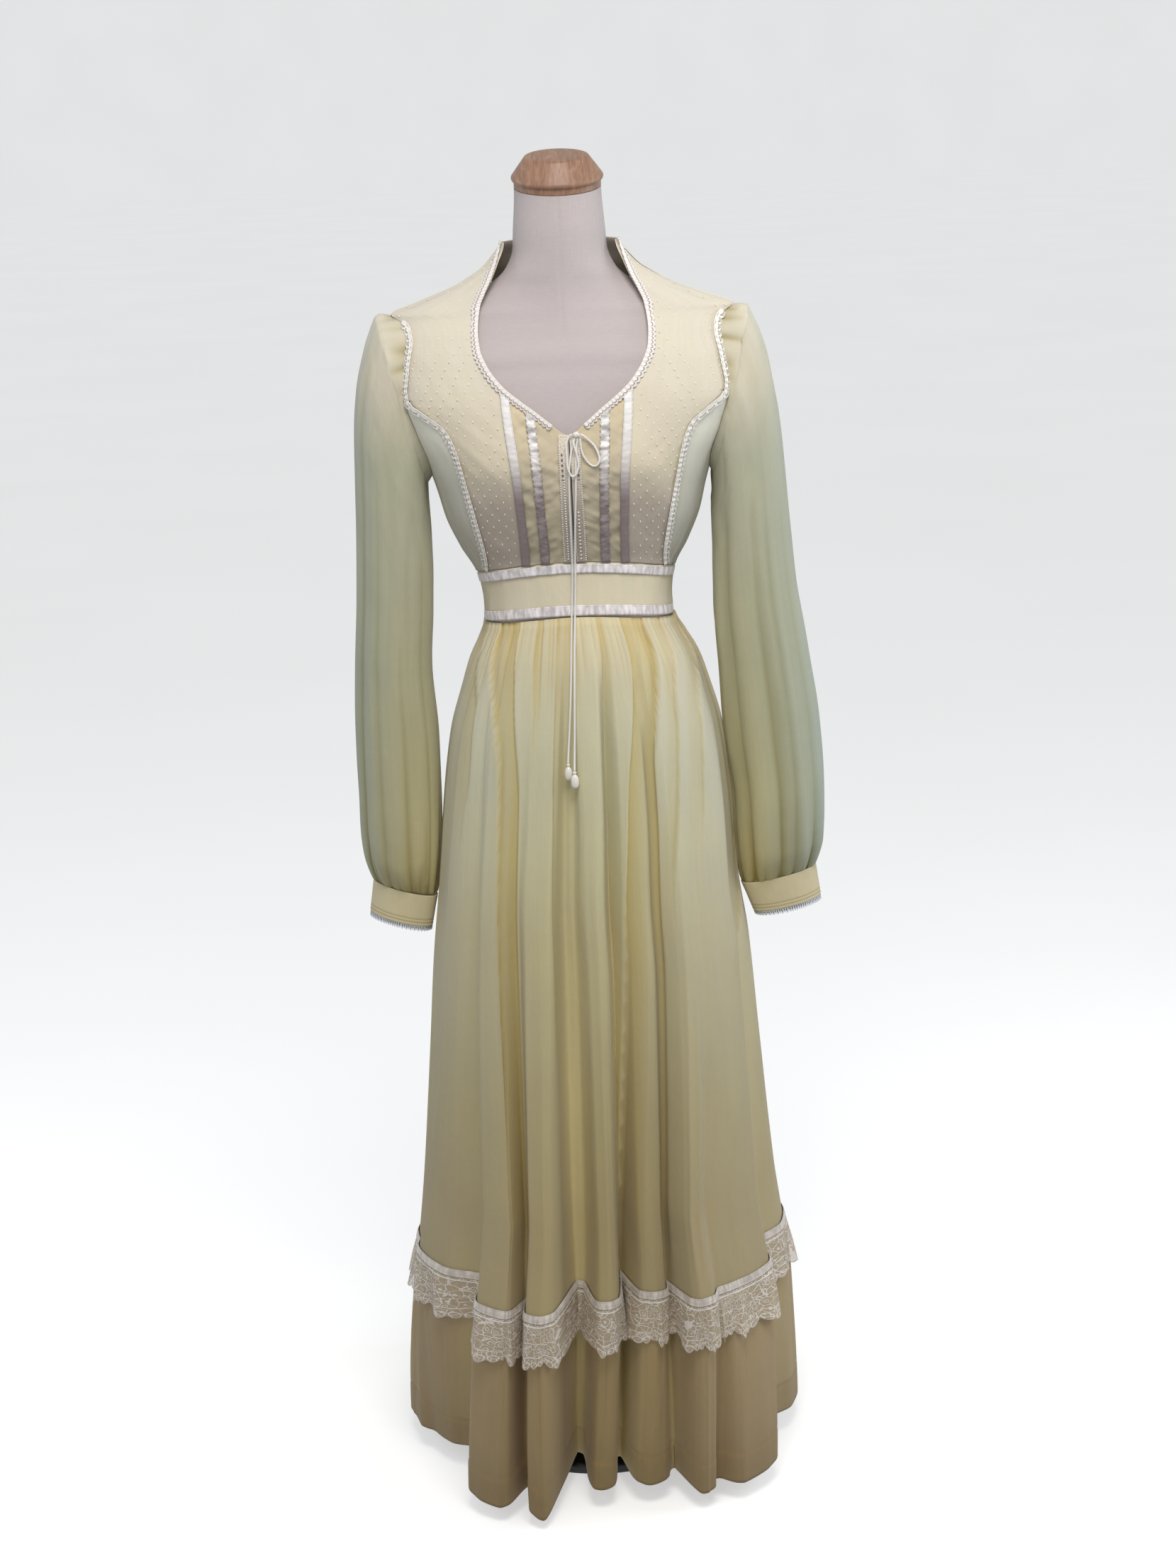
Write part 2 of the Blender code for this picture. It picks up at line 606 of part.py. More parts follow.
def build_bodice(side, label):
    hole = armhole_rows()
    front_rows = LOWER_ROWS + hole[0:1] + hole[2:-2] + hole[-1:] + UPPER_ROWS
    body_panel("bodice_front_" + label, front_rows + COLLAR_ROWS[1:], front_inner_edge,
               princess_edge, 4, "dotted_voile", side)
    side_rows = LOWER_ROWS + hole[0:1] + hole[2:7]
    body_panel("side_front_" + label, side_rows, princess_edge, side_edge, 3, "sleeve_voile", side)
    back_rows = LOWER_ROWS + hole[0:1] + hole[2:-2] + hole[-1:] + UPPER_ROWS
    body_panel("bodice_back_" + label, back_rows, back_side_edge, lambda height: math.pi, 6,
               "voile", side)
    build_inset(side, label)


def build_inset(side, label):
    rows = 10

    def place(u, row):
        top = 1.25
        for attempt in range(8):
            x = mix(TAPE_INNER, read(RIBBON_LINES, top, 1) - SEAM_GAP, u)
            top = neckline_height(x)
        height = mix(BODICE_BOTTOM, top, row / rows)
        x = mix(TAPE_INNER, read(RIBBON_LINES, height, 1) - SEAM_GAP, u)
        return on_body(side * angle_of_half_width(x, height), height, CLOTH_OUT)

    cloth("inset_" + label, grid(3, rows, place, flip=side < 0), "voile")


def build_collar():
    def place(u, row):
        angle = mix(math.pi / 2, 3 * math.pi / 2, u)
        if u in (0.0, 1.0):
            angle += (0.5 - u) * SEAM_GAP / 0.06
        return on_body(angle, COLLAR_ROWS[row], CLOTH_OUT)

    cloth("collar_back", grid(12, len(COLLAR_ROWS) - 1, place), "dotted_voile")


def waist_band(name, columns, first, heights, out, wall, finish):
    # A band round the waist in steps of the torso's own columns, so that it seats on them
    step = math.tau / FORM_COLUMNS

    def place(u, row):
        angle = (first + u * columns) * step
        if u in (0.0, 1.0):
            angle += (0.5 - u) * SEAM_GAP / 0.1
        return on_body(angle, heights[row], out)

    cloth(name, grid(columns, len(heights) - 1, place), finish, wall)


def build_midriff():
    quarter = FORM_COLUMNS // 4
    waist_band("midriff_front", 2 * quarter, -quarter, MIDRIFF_ROWS, CLOTH_OUT, CLOTH_WALL, "voile")
    waist_band("midriff_back", 2 * quarter, quarter, MIDRIFF_ROWS, CLOTH_OUT, CLOTH_WALL, "voile")
    ribbon = 2 * quarter - 2
    lower = [MIDRIFF_ROWS[0] + WAIST_RIBBON_EDGE, MIDRIFF_ROWS[1]]
    upper = [MIDRIFF_ROWS[-2], MIDRIFF_ROWS[-1] - WAIST_RIBBON_EDGE]
    waist_band("ribbon_waist_lower", ribbon, 1 - quarter, lower, TRIM_OUT, TRIM_WALL, "satin")
    waist_band("ribbon_waist_upper", ribbon, 1 - quarter, upper, TRIM_OUT, TRIM_WALL, "satin")


def build_trims(side, label):
    for name, column in (("outer", 1), ("inner", 2)):
        top = neckline_height(RIBBON_LINES[-1][column]) - 0.0055

        def line(step):
            height = mix(BODICE_BOTTOM + 0.0012, top, step)
            return ribbon_edge(column)(height), height

        body_band("ribbon_" + name + "_" + label, line, 12, -RIBBON_WIDTH / 2, RIBBON_WIDTH / 2,
                  "satin", side)

    def tape(step):
        height = mix(BODICE_BOTTOM + 0.0012, 1.2280, step)
        return angle_of_half_width((TAPE_INNER + TAPE_OUTER) / 2, height), height

    half = (TAPE_OUTER - TAPE_INNER) / 2
    body_band("placket_tape_" + label, tape, 10, -half, half, "lace", side)

    def neck(step):
        return neckline(mix(0.075, 0.995, step))

    body_band("neck_lace_" + label, neck, 21, -0.0008, NECK_LACE_WIDTH, "lace", side,
              out=NECK_LACE_OUT)

    def yoke(step):
        height = mix(BODICE_BOTTOM + 0.0012, 1.3460, step)
        low, high = YOKE_CORNER
        turn = min(1.0, max(0.0, (height - low) / (high - low)))
        seam = angle_of_half_width(read(PRINCESS, min(height, PRINCESS[-1][0]), 1), height)
        hole = angle_of_armhole(height, True) if height > ARMHOLE_MID - ARMHOLE_HALF_HEIGHT else seam
        around = steps_on_body(seam, height)[0]
        back = YOKE_LACE_WIDTH / 2 + mix(0.0005, 0.0042, turn)
        return mix(seam, hole, turn) - back / around.length, height

    body_band("yoke_lace_" + label, yoke, 21, -YOKE_LACE_WIDTH / 2, YOKE_LACE_WIDTH / 2, "lace", side)


# The sleeves

def sleeve_ring(row, turn, side):
    outer_column, inner_column = (1, 2) if side > 0 else (3, 4)
    outer = Vector((side * read(SLEEVE, row, outer_column), 0.0, read(SLEEVE, row, 5)))
    inner = Vector((side * read(SLEEVE, row, inner_column), 0.0, read(SLEEVE, row, 6)))
    depth = read(SLEEVE, row, 7)
    near_cuff = max(0.0, 1.0 - abs(row - 10.6) / 2.2)
    near_cap = max(0.0, 1.0 - abs(row - 1.2) / 1.8) * max(0.0, math.sin(turn))
    gathers = 0.022 * near_cuff + 0.014 * near_cap
    away = 1.0 - max(0.0, -math.sin(turn))
    big = 0.070 * away * math.sin(math.pi * min(1.0, row / 11.0))
    full = 1.0 + gathers * math.cos(12 * turn) + big * (math.cos(4 * turn + 0.6) - 1.0) * 0.5
    return ((outer + inner) / 2 + (outer - inner) / 2 * math.sin(turn) * full
            + Vector((0.0, -depth * math.cos(turn) * full, 0.0)))


def armhole_point(turn, side):
    height = ARMHOLE_MID + ARMHOLE_HALF_HEIGHT * math.sin(turn)
    front = math.cos(turn) > 1e-6
    if abs(math.cos(turn)) <= 1e-6:
        angle = math.pi / 2
    else:
        angle = angle_of_armhole(height, front)
    return on_body(side * angle, height, CLOTH_OUT + CLOTH_WALL + ARMHOLE_OUT)


def build_sleeve(side, label):
    last = int(SLEEVE[-1][0])

    def place(u, row):
        turn = -math.tau * u
        if row == 0:
            return armhole_point(turn, side)
        return sleeve_ring(row, turn, side)

    cloth("sleeve_" + label, grid(SLEEVE_SAMPLES, last, place, closed=True, flip=side < 0),
          "sleeve_voile")

    cuff = CUFFS[label]

    def cuff_point(turn, along, grow):
        outer_x, inner_x, outer_z, inner_z = (mix(cuff["top"][k], cuff["bottom"][k], along)
                                              for k in range(4))
        outer = Vector((side * (outer_x + grow), 0.0, outer_z))
        inner = Vector((side * (inner_x - grow), 0.0, inner_z))
        return ((outer + inner) / 2 + (outer - inner) / 2 * math.sin(turn)
                + Vector((0.0, -(CUFF_DEPTH + grow) * math.cos(turn), 0.0)))

    height = cuff["top"][2] - cuff["bottom"][2]

    def cuff_place(u, row):
        return cuff_point(-math.tau * u, mix(0.012, 1.0, row / 2), 0.0)

    def lace_place(u, row):
        return cuff_point(-math.tau * u, 1.0 + (0.0005 + row * CUFF_LACE) / height, 0.0002)

    cloth("cuff_" + label, grid(SLEEVE_SAMPLES, 2, cuff_place, closed=True, flip=side < 0), "voile")
    cloth("cuff_lace_" + label, grid(SLEEVE_SAMPLES, 1, lace_place, closed=True, flip=side < 0),
          "lace", TRIM_WALL)


# The skirt, by fold step and height

def eased(low, high, value):
    t = min(1.0, max(0.0, (value - low) / (high - low)))
    return t * t * (3.0 - 2.0 * t)


def fold_value(step, column):
    count = len(FOLDS) - 1
    index = math.floor(step)
    t = step - index
    turns, index = divmod(index, count)
    first, second = FOLDS[index][column], FOLDS[index + 1][column]
    if column in (0, 3):
        return mix(first, second, t) + 360.0 * turns
    wave = 0.5 - 0.5 * math.cos(math.pi * t)
    if column == 2:
        return mix(first, second, wave)
    steep = eased(0.34, 0.96, t) if first > second else eased(0.04, 0.66, t)
    return mix(first, second, mix(wave, steep, FACE))


def skirt_envelope(angle, height):
    half, front, back = (read(SKIRT, height, column) for column in (1, 2, 3))
    depth = front if math.cos(angle) > 0.0 else back
    return 1.0 / math.hypot(math.sin(angle) / half, math.cos(angle) / depth)


def skirt_surface(step, height):
    fall = (SKIRT_TOP - height) / (SKIRT_TOP - 0.03)
    seam_fall = (SKIRT_TOP - FLOUNCE_SEAM) / (SKIRT_TOP - 0.03)
    below = min(1.0, max(0.0, (fall - seam_fall) / (1.0 - seam_fall)))
    at_waist = -90.0 + step * 360.0 / (len(FOLDS) - 1)
    hem_angle, seam_angle = fold_value(step, 0), fold_value(step, 3)
    angle = math.radians(mix(mix(at_waist, seam_angle, min(1.0, fall * 1.5)), hem_angle, below))
    hem_dip = fold_value(step, 1) - skirt_envelope(math.radians(hem_angle), 0.03)
    dip = fold_value(step, 4) - skirt_envelope(math.radians(seam_angle), FLOUNCE_SEAM)
    if fall >= seam_fall:
        dip = mix(dip, hem_dip, below)
    elif dip > 0.0:
        dip *= (max(0.0, fall - RIDGE_START) / (seam_fall - RIDGE_START)) ** RIDGE_GROWTH
    else:
        dip *= max(0.0, fall / seam_fall) ** HOLLOW_GROWTH
    gather = GATHER_DEPTH * max(0.0, 1.0 - fall / 0.35)
    radius = skirt_envelope(angle, height) + dip - gather * (1.0 - math.cos(math.tau * step)) / 2
    return Vector((radius * math.sin(angle) + lean_at(height), -radius * math.cos(angle),
                   height + waist_lift(angle, height)))


def skirt_point(step, height, out):
    # A point of the skirt, moved out along its own normal
    point = skirt_surface(step, height)
    if out == 0.0:
        return point
    turn, climb = 0.05, 0.002
    around = skirt_surface(step + turn, height) - skirt_surface(step - turn, height)
    up = skirt_surface(step, height + climb) - skirt_surface(step, height - climb)
    return point + around.cross(up).normalized() * out


def skirt_piece(name, first, last, heights, finish, out_at, wall=CLOTH_WALL):
    # heights(step) gives the rows' heights, bottom to top, and out_at(row, step) the offsets
    columns = (last - first) * FOLD_SAMPLES

    def place(u, row):
        step = mix(first, last, u)
        height = heights(step)[row]
        point = skirt_point(step, height, out_at(row, step))
        if u in (0.0, 1.0) and step == CENTRE_BACK:
            point.x += (SEAM_GAP / 2) * (1 if u == 1.0 else -1)
        elif u in (0.0, 1.0):
            point.y += (SEAM_GAP / 2) * (1 if first >= FRONT_FOLDS else -1)
        return point

    rows = len(heights(0.0)) - 1
    return cloth(name, grid(columns, rows, place), finish, wall)


def build_skirt():
    for label, first, last in (("front", 0, FRONT_FOLDS), ("back_right", FRONT_FOLDS, CENTRE_BACK),
                               ("back_left", CENTRE_BACK, 2 * FRONT_FOLDS)):
        skirt_piece("skirt_" + label, first, last, lambda step: SKIRT_ROWS, "voile", lambda row, step: 0.0)

    for label, first in (("front", 0), ("back", FRONT_FOLDS)):
        last = first + FRONT_FOLDS

        def flounce_rows(step):
            hem = fold_value(step, 2)
            return [mix(hem, FLOUNCE_SEAM - SEAM_GAP, part) for part in FLOUNCE_ROWS]

        skirt_piece("flounce_" + label, first, last, flounce_rows, "voile", lambda row, step: 0.0)

        def lace_rows(step):
            return [LACE_BOTTOM, LACE_TOP]

        def lace_out(row, step):
            return LACE_OUT + (LACE_FLARE, 0.0)[row]

        skirt_piece("hem_lace_" + label, first, last, lace_rows, "lace", lace_out, TRIM_WALL)

        def heading_rows(step):
            return [FLOUNCE_SEAM - HEADING_HALF + 0.0002, FLOUNCE_SEAM + HEADING_HALF]

        skirt_piece("lace_heading_" + label, first, last, heading_rows, "satin",
                    lambda row, step: HEADING_OUT, TRIM_WALL)


# The tie

def build_tie():
    for label in ("right", "left"):
        strand = [Vector(point) for point in STRANDS[label]]
        cord("cord_" + label, smooth_route(strand, STRAND_SPANS), "cord")
        loop = [Vector(point) for point in LOOPS[label]]
        cord("bow_loop_" + label, smooth_route(loop, LOOP_SPANS), "cord")
        tip = turned("cord_tip_" + label, TIP_PROFILE, 12, "bead")
        tip.location = strand[-1] - Vector((0.0, 0.0, CAP_GAP))

    bm = bmesh.new()
    bmesh.ops.create_uvsphere(bm, u_segments=10, v_segments=6, radius=1.0)
    bmesh.ops.scale(bm, verts=bm.verts, vec=KNOT["size"])
    knot = mesh_object("bow_knot", bm, "cord")
    knot.location = KNOT["place"]


def main():
    for old in list(bpy.data.objects):
        bpy.data.objects.remove(old, do_unlink=True)
    collection = bpy.data.collections.new(COLLECTION)
    bpy.context.scene.collection.children.link(collection)
    build_form()
    build_midriff()
    build_collar()
    for side, label in ((1, "right"), (-1, "left")):
        build_bodice(side, label)
        build_trims(side, label)
        build_sleeve(side, label)
    build_skirt()
    build_tie()


main()
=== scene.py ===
# Maxi dress on a limbless dress form. Metres, +Z up, the dress faces -Y.
import json
import math

import bmesh
import bpy
import numpy as np
from mathutils import Matrix, Vector
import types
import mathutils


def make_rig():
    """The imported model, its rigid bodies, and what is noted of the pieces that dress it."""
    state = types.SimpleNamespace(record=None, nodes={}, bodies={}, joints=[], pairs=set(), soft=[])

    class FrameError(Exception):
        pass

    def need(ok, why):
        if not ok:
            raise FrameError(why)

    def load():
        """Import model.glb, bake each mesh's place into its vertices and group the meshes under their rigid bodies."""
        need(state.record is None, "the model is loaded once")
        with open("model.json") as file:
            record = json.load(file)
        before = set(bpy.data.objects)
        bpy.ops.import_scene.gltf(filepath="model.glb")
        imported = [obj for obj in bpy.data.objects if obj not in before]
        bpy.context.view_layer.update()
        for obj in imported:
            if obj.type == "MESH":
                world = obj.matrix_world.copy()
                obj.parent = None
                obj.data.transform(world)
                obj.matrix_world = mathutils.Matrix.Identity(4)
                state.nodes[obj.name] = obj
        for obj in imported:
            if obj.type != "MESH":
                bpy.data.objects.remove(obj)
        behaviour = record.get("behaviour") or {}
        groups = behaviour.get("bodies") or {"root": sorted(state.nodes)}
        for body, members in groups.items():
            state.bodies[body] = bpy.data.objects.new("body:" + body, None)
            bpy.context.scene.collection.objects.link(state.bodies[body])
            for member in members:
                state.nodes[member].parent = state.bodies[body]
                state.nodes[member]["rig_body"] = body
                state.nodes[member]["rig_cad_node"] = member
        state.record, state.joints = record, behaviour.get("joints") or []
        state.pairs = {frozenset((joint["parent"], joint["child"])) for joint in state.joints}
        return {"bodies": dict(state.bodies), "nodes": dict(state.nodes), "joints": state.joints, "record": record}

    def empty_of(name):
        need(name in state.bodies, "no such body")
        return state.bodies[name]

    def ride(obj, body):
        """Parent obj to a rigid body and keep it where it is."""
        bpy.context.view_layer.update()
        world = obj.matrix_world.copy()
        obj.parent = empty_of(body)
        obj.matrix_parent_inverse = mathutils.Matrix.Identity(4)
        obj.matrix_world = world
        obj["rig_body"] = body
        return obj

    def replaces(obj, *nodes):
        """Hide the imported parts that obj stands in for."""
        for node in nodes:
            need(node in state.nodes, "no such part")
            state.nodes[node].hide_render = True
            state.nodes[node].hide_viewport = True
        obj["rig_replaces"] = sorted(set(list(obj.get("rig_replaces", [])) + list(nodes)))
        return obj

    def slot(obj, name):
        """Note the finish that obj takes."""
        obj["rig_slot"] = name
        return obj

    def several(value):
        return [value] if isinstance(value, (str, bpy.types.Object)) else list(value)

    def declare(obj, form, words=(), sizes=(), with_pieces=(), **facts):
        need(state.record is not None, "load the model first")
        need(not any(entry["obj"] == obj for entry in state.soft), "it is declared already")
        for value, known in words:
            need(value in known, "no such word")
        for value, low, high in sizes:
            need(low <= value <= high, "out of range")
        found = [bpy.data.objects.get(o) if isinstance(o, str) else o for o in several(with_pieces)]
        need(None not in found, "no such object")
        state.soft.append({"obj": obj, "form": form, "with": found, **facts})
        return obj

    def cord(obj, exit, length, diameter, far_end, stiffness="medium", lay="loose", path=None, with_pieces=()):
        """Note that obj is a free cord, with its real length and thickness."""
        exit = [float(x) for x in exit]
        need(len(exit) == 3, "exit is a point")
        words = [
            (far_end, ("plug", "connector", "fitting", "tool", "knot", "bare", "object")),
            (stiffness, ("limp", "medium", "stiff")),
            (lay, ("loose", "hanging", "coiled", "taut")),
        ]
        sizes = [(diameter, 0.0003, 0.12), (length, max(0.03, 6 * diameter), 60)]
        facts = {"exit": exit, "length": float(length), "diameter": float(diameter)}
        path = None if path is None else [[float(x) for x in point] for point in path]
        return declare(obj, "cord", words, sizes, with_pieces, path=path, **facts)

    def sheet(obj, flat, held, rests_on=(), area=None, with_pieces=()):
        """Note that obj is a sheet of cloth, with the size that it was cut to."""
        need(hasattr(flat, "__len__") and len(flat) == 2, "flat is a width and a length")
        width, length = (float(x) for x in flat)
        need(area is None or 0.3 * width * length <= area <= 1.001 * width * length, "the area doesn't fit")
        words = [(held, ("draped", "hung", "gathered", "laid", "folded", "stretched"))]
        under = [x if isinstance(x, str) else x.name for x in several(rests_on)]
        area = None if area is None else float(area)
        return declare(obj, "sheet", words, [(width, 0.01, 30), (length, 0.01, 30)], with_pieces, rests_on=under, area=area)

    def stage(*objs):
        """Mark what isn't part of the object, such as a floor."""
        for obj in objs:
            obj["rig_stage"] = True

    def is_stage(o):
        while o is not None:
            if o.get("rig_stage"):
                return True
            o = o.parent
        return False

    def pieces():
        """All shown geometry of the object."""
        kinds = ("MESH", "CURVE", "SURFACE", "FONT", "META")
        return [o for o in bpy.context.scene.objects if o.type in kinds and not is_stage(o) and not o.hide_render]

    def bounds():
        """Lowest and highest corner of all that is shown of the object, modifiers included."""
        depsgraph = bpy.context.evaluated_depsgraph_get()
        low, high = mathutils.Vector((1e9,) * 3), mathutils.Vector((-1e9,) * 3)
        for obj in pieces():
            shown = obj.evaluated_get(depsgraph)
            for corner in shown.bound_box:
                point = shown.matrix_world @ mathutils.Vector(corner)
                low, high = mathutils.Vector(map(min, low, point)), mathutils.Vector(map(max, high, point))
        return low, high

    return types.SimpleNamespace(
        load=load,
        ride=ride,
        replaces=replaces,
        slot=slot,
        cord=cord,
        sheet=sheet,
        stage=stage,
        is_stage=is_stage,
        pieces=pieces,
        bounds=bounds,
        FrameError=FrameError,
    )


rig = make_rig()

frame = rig.load()
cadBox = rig.bounds()


# tables and curves

def readTable(rows, key, column):  # a column's value at a key, on a smooth curve through the rows
    table = np.array(rows, float)
    keys, values = table[:, 0], table[:, column]
    rise = np.diff(values) / np.diff(keys)
    slopes = np.zeros(len(keys))
    before, after = rise[:-1], rise[1:]
    same = before * after > 0
    slopes[1:-1][same] = 2 * before[same] * after[same] / (before[same] + after[same])
    key = np.clip(np.asarray(key, float), keys[0], keys[-1])
    index = np.clip(np.searchsorted(keys, key, side="right") - 1, 0, len(keys) - 2)
    span = np.diff(keys)[index]
    t = (key - keys[index]) / span
    return ((2 * t**3 - 3 * t**2 + 1) * values[index] + (t**3 - 2 * t**2 + t) * slopes[index] * span
            + (3 * t**2 - 2 * t**3) * values[index + 1] + (t**3 - t**2) * slopes[index + 1] * span)


def mix(a, b, t):
    return a + (b - a) * t


def ease(low, high, value):  # 0 below low, 1 above high, smooth between
    t = np.clip((np.asarray(value, float) - low) / (high - low), 0.0, 1.0)
    return t * t * (3 - 2 * t)


def signedPower(value, exponent):
    return np.sign(value) * np.abs(value) ** exponent


def join(x, y, z):
    return np.stack(np.broadcast_arrays(x, y, z), axis=-1)


def ripples(x, y, wide, tall, seed):  # smooth random hills of a size, from -1 to 1
    count = 61
    table = np.random.default_rng(seed).uniform(-1, 1, (count, count))
    gx, gy = np.broadcast_arrays(np.asarray(x, float) / wide, np.asarray(y, float) / tall)
    ix, iy = np.floor(gx).astype(int), np.floor(gy).astype(int)
    fx, fy = ease(0, 1, gx - ix), ease(0, 1, gy - iy)
    low, high = (mix(table[ix % count, row % count], table[(ix + 1) % count, row % count], fx) for row in (iy, iy + 1))
    return mix(low, high, fy)


def gathers(place, drop, settings, seed):  # sharp valleys from a seam: place round it, drop from it in metres
    place, drop = np.broadcast_arrays(np.asarray(place, float), np.asarray(drop, float))
    draw = np.random.default_rng(seed)
    total = np.zeros(place.shape)
    for number in range(settings["count"]):
        spot = (number + draw.uniform(-0.32, 0.32)) * settings["around"] / settings["count"]
        deep, long, wide = (draw.uniform(*settings[key]) for key in ("deep", "long", "wide"))
        spot = spot + draw.uniform(-1, 1) * settings["slant"] * drop
        half = settings["around"] / 2
        away = np.abs(np.mod(place - spot + half, 2 * half) - half)
        total += deep * np.exp(-(away / wide) ** 1.15) * np.clip(1 - drop / long, 0, 1) ** 0.8
    return total


# the surface that the dress fits, by angle from the front and height

body = [  # height, half width, front depth, back depth, roundness
    (1.0, 0.1065, 0.081, 0.077, 2.15), (1.03, 0.106, 0.0805, 0.077, 2.15),
    (1.05, 0.108, 0.081, 0.0775, 2.15), (1.0662, 0.112, 0.083, 0.0785, 2.15),
    (1.095, 0.128, 0.093, 0.083, 2.2), (1.1277, 0.1425, 0.104, 0.09, 2.2),
    (1.16, 0.1505, 0.111, 0.097, 2.2), (1.19, 0.159, 0.114, 0.102, 2.3),
    (1.23, 0.1775, 0.109, 0.106, 2.6), (1.264, 0.1895, 0.101, 0.108, 2.8),
    (1.3, 0.1905, 0.088, 0.105, 2.6), (1.33, 0.1915, 0.07, 0.099, 2.2),
    (1.353, 0.19, 0.051, 0.09, 2.0), (1.364, 0.163, 0.047, 0.086, 2.0),
    (1.373, 0.139, 0.045, 0.082, 2.0), (1.381, 0.119, 0.044, 0.078, 2.0),
    (1.39, 0.103, 0.0425, 0.073, 2.0), (1.4, 0.087, 0.0425, 0.0685, 2.0),
    (1.411, 0.076, 0.043, 0.0655, 2.0), (1.4285, 0.0635, 0.045, 0.063, 2.0),
]
bareLow = [(0.76, 0.138, 0.098, 0.105, 2.2), (0.84, 0.145, 0.102, 0.112, 2.2),
           (0.93, 0.129, 0.098, 0.102, 2.15), (1.0, 0.1065, 0.081, 0.077, 2.15)]
bareHigh = [
    (1.3, 0.1905, 0.088, 0.105, 2.6), (1.33, 0.19, 0.073, 0.098, 1.7),
    (1.353, 0.182, 0.064, 0.088, 1.35), (1.363, 0.146, 0.061, 0.08, 1.35),
    (1.373, 0.112, 0.0585, 0.073, 1.45), (1.385, 0.082, 0.0565, 0.066, 1.7),
    (1.4, 0.065, 0.0555, 0.06, 2.0), (1.42, 0.0565, 0.055, 0.056, 2.0),
    (1.44, 0.055, 0.0545, 0.0545, 2.0), (1.487, 0.052, 0.052, 0.052, 2.0),
]
bust = {"height": 1.186, "side": 0.072, "rise": 0.0075, "spreadZ": 0.046, "spreadX": 0.04}
lean = [  # height, and how far the middle stands to the right there
    (0.03, 0.003), (0.26, 0.007), (0.62, 0.0085), (0.7, 0.007), (0.8, 0.009),
    (0.95, 0.01), (1.02, 0.0065), (1.1, 0.0045), (1.2, 0.003), (1.4, 0.0)]
waistRise = [  # height, and how much higher the front of a level line is
    (0.9, 0.0), (1.0, 0.012), (1.06, 0.0175), (1.16, 0.006), (1.23, 0.0)]
hole = {  # the armhole, an oval in a side view
    "mid": 1.264, "halfHeight": 0.089, "halfDepth": 0.055}


def section(table, angle, height, inset=0.0):
    half, front, back, roundness = (readTable(table, height, k) for k in (1, 2, 3, 4))
    depth = np.where(np.cos(angle) > 0, front, back)
    return ((half - inset) * signedPower(np.sin(angle), 2 / roundness),
            -(depth - inset) * signedPower(np.cos(angle), 2 / roundness))


def bustRise(x, y, height):
    across = np.exp(-((np.abs(x) - bust["side"]) / bust["spreadX"]) ** 2)
    along = np.exp(-((height - bust["height"]) / bust["spreadZ"]) ** 2)
    return bust["rise"] * across * along * np.clip(-y / 0.03, 0.0, 1.0)


def waistLift(angle, height):
    return readTable(waistRise, height, 1) * np.maximum(0.0, np.cos(angle)) ** 2


def leanAt(height):
    return readTable(lean, height, 1)


def fitted(angle, height):
    angle, height = np.broadcast_arrays(np.asarray(angle, float), np.asarray(height, float))
    x, y = section(body, angle, height)
    return join(x + leanAt(height), y - bustRise(x, y, height), height + waistLift(angle, height))


def stepsOnBody(angle, height):  # how the surface moves with the angle and with the height
    around = (fitted(angle + 0.01, height) - fitted(angle - 0.01, height)) / 0.02
    up = (fitted(angle, height + 0.0015) - fitted(angle, height - 0.0015)) / 0.003
    return around, up


def unit(vector):
    return vector / np.maximum(1e-9, np.linalg.norm(vector, axis=-1, keepdims=True))


def onBody(angle, height, out):
    return fitted(angle, height) + unit(np.cross(*stepsOnBody(angle, height))) * np.asarray(out)[..., None]


def beadOnBody(angle, height, out):  # where a bead sits, and the way out from there
    here, beyond = (onBody(np.array([angle]), np.array([height]), np.array([far]))[0] for far in (out, 0.01))
    return here, beyond - here


def angleOfX(x, height):
    half, roundness = readTable(body, height, 1), readTable(body, height, 4)
    return np.arcsin(np.minimum(1.0, np.abs(x) / half) ** (roundness / 2))


def angleOfHole(height, front):
    rise = (height - hole["mid"]) / hole["halfHeight"]
    y = hole["halfDepth"] * np.sqrt(np.maximum(0.0, 1 - rise * rise))
    depth = readTable(body, height, 2 if front else 3)
    angle = np.arccos(np.minimum(1.0, y / depth) ** (readTable(body, height, 4) / 2))
    return angle if front else math.pi - angle


# shared mesh tools

def linked(name, data):
    made = bpy.data.objects.new(name, data)
    bpy.context.scene.collection.objects.link(made)
    return made


def finishMesh(name, bm, paint, smooth, size=(1.0, 1.0)):
    # smooth is the angle above which an edge is sharp, size what the UV square stands for, in metres
    mesh = bpy.data.meshes.new(name)
    bm.to_mesh(mesh)
    bm.free()
    if mesh.uv_layers:
        flat = np.empty(len(mesh.loops) * 2, np.float32)
        mesh.uv_layers[0].data.foreach_get("uv", flat)
        mesh.uv_layers[0].data.foreach_set("uv", (flat.reshape(-1, 2) * np.array(size)).ravel())
    mesh.shade_smooth()
    if smooth < 180:
        mesh.set_sharp_from_angle(angle=math.radians(smooth))
    mesh.materials.append(paint)
    piece = linked(name, mesh)
    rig.ride(piece, "root")
    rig.slot(piece, slotOf[paint.name])
    return piece


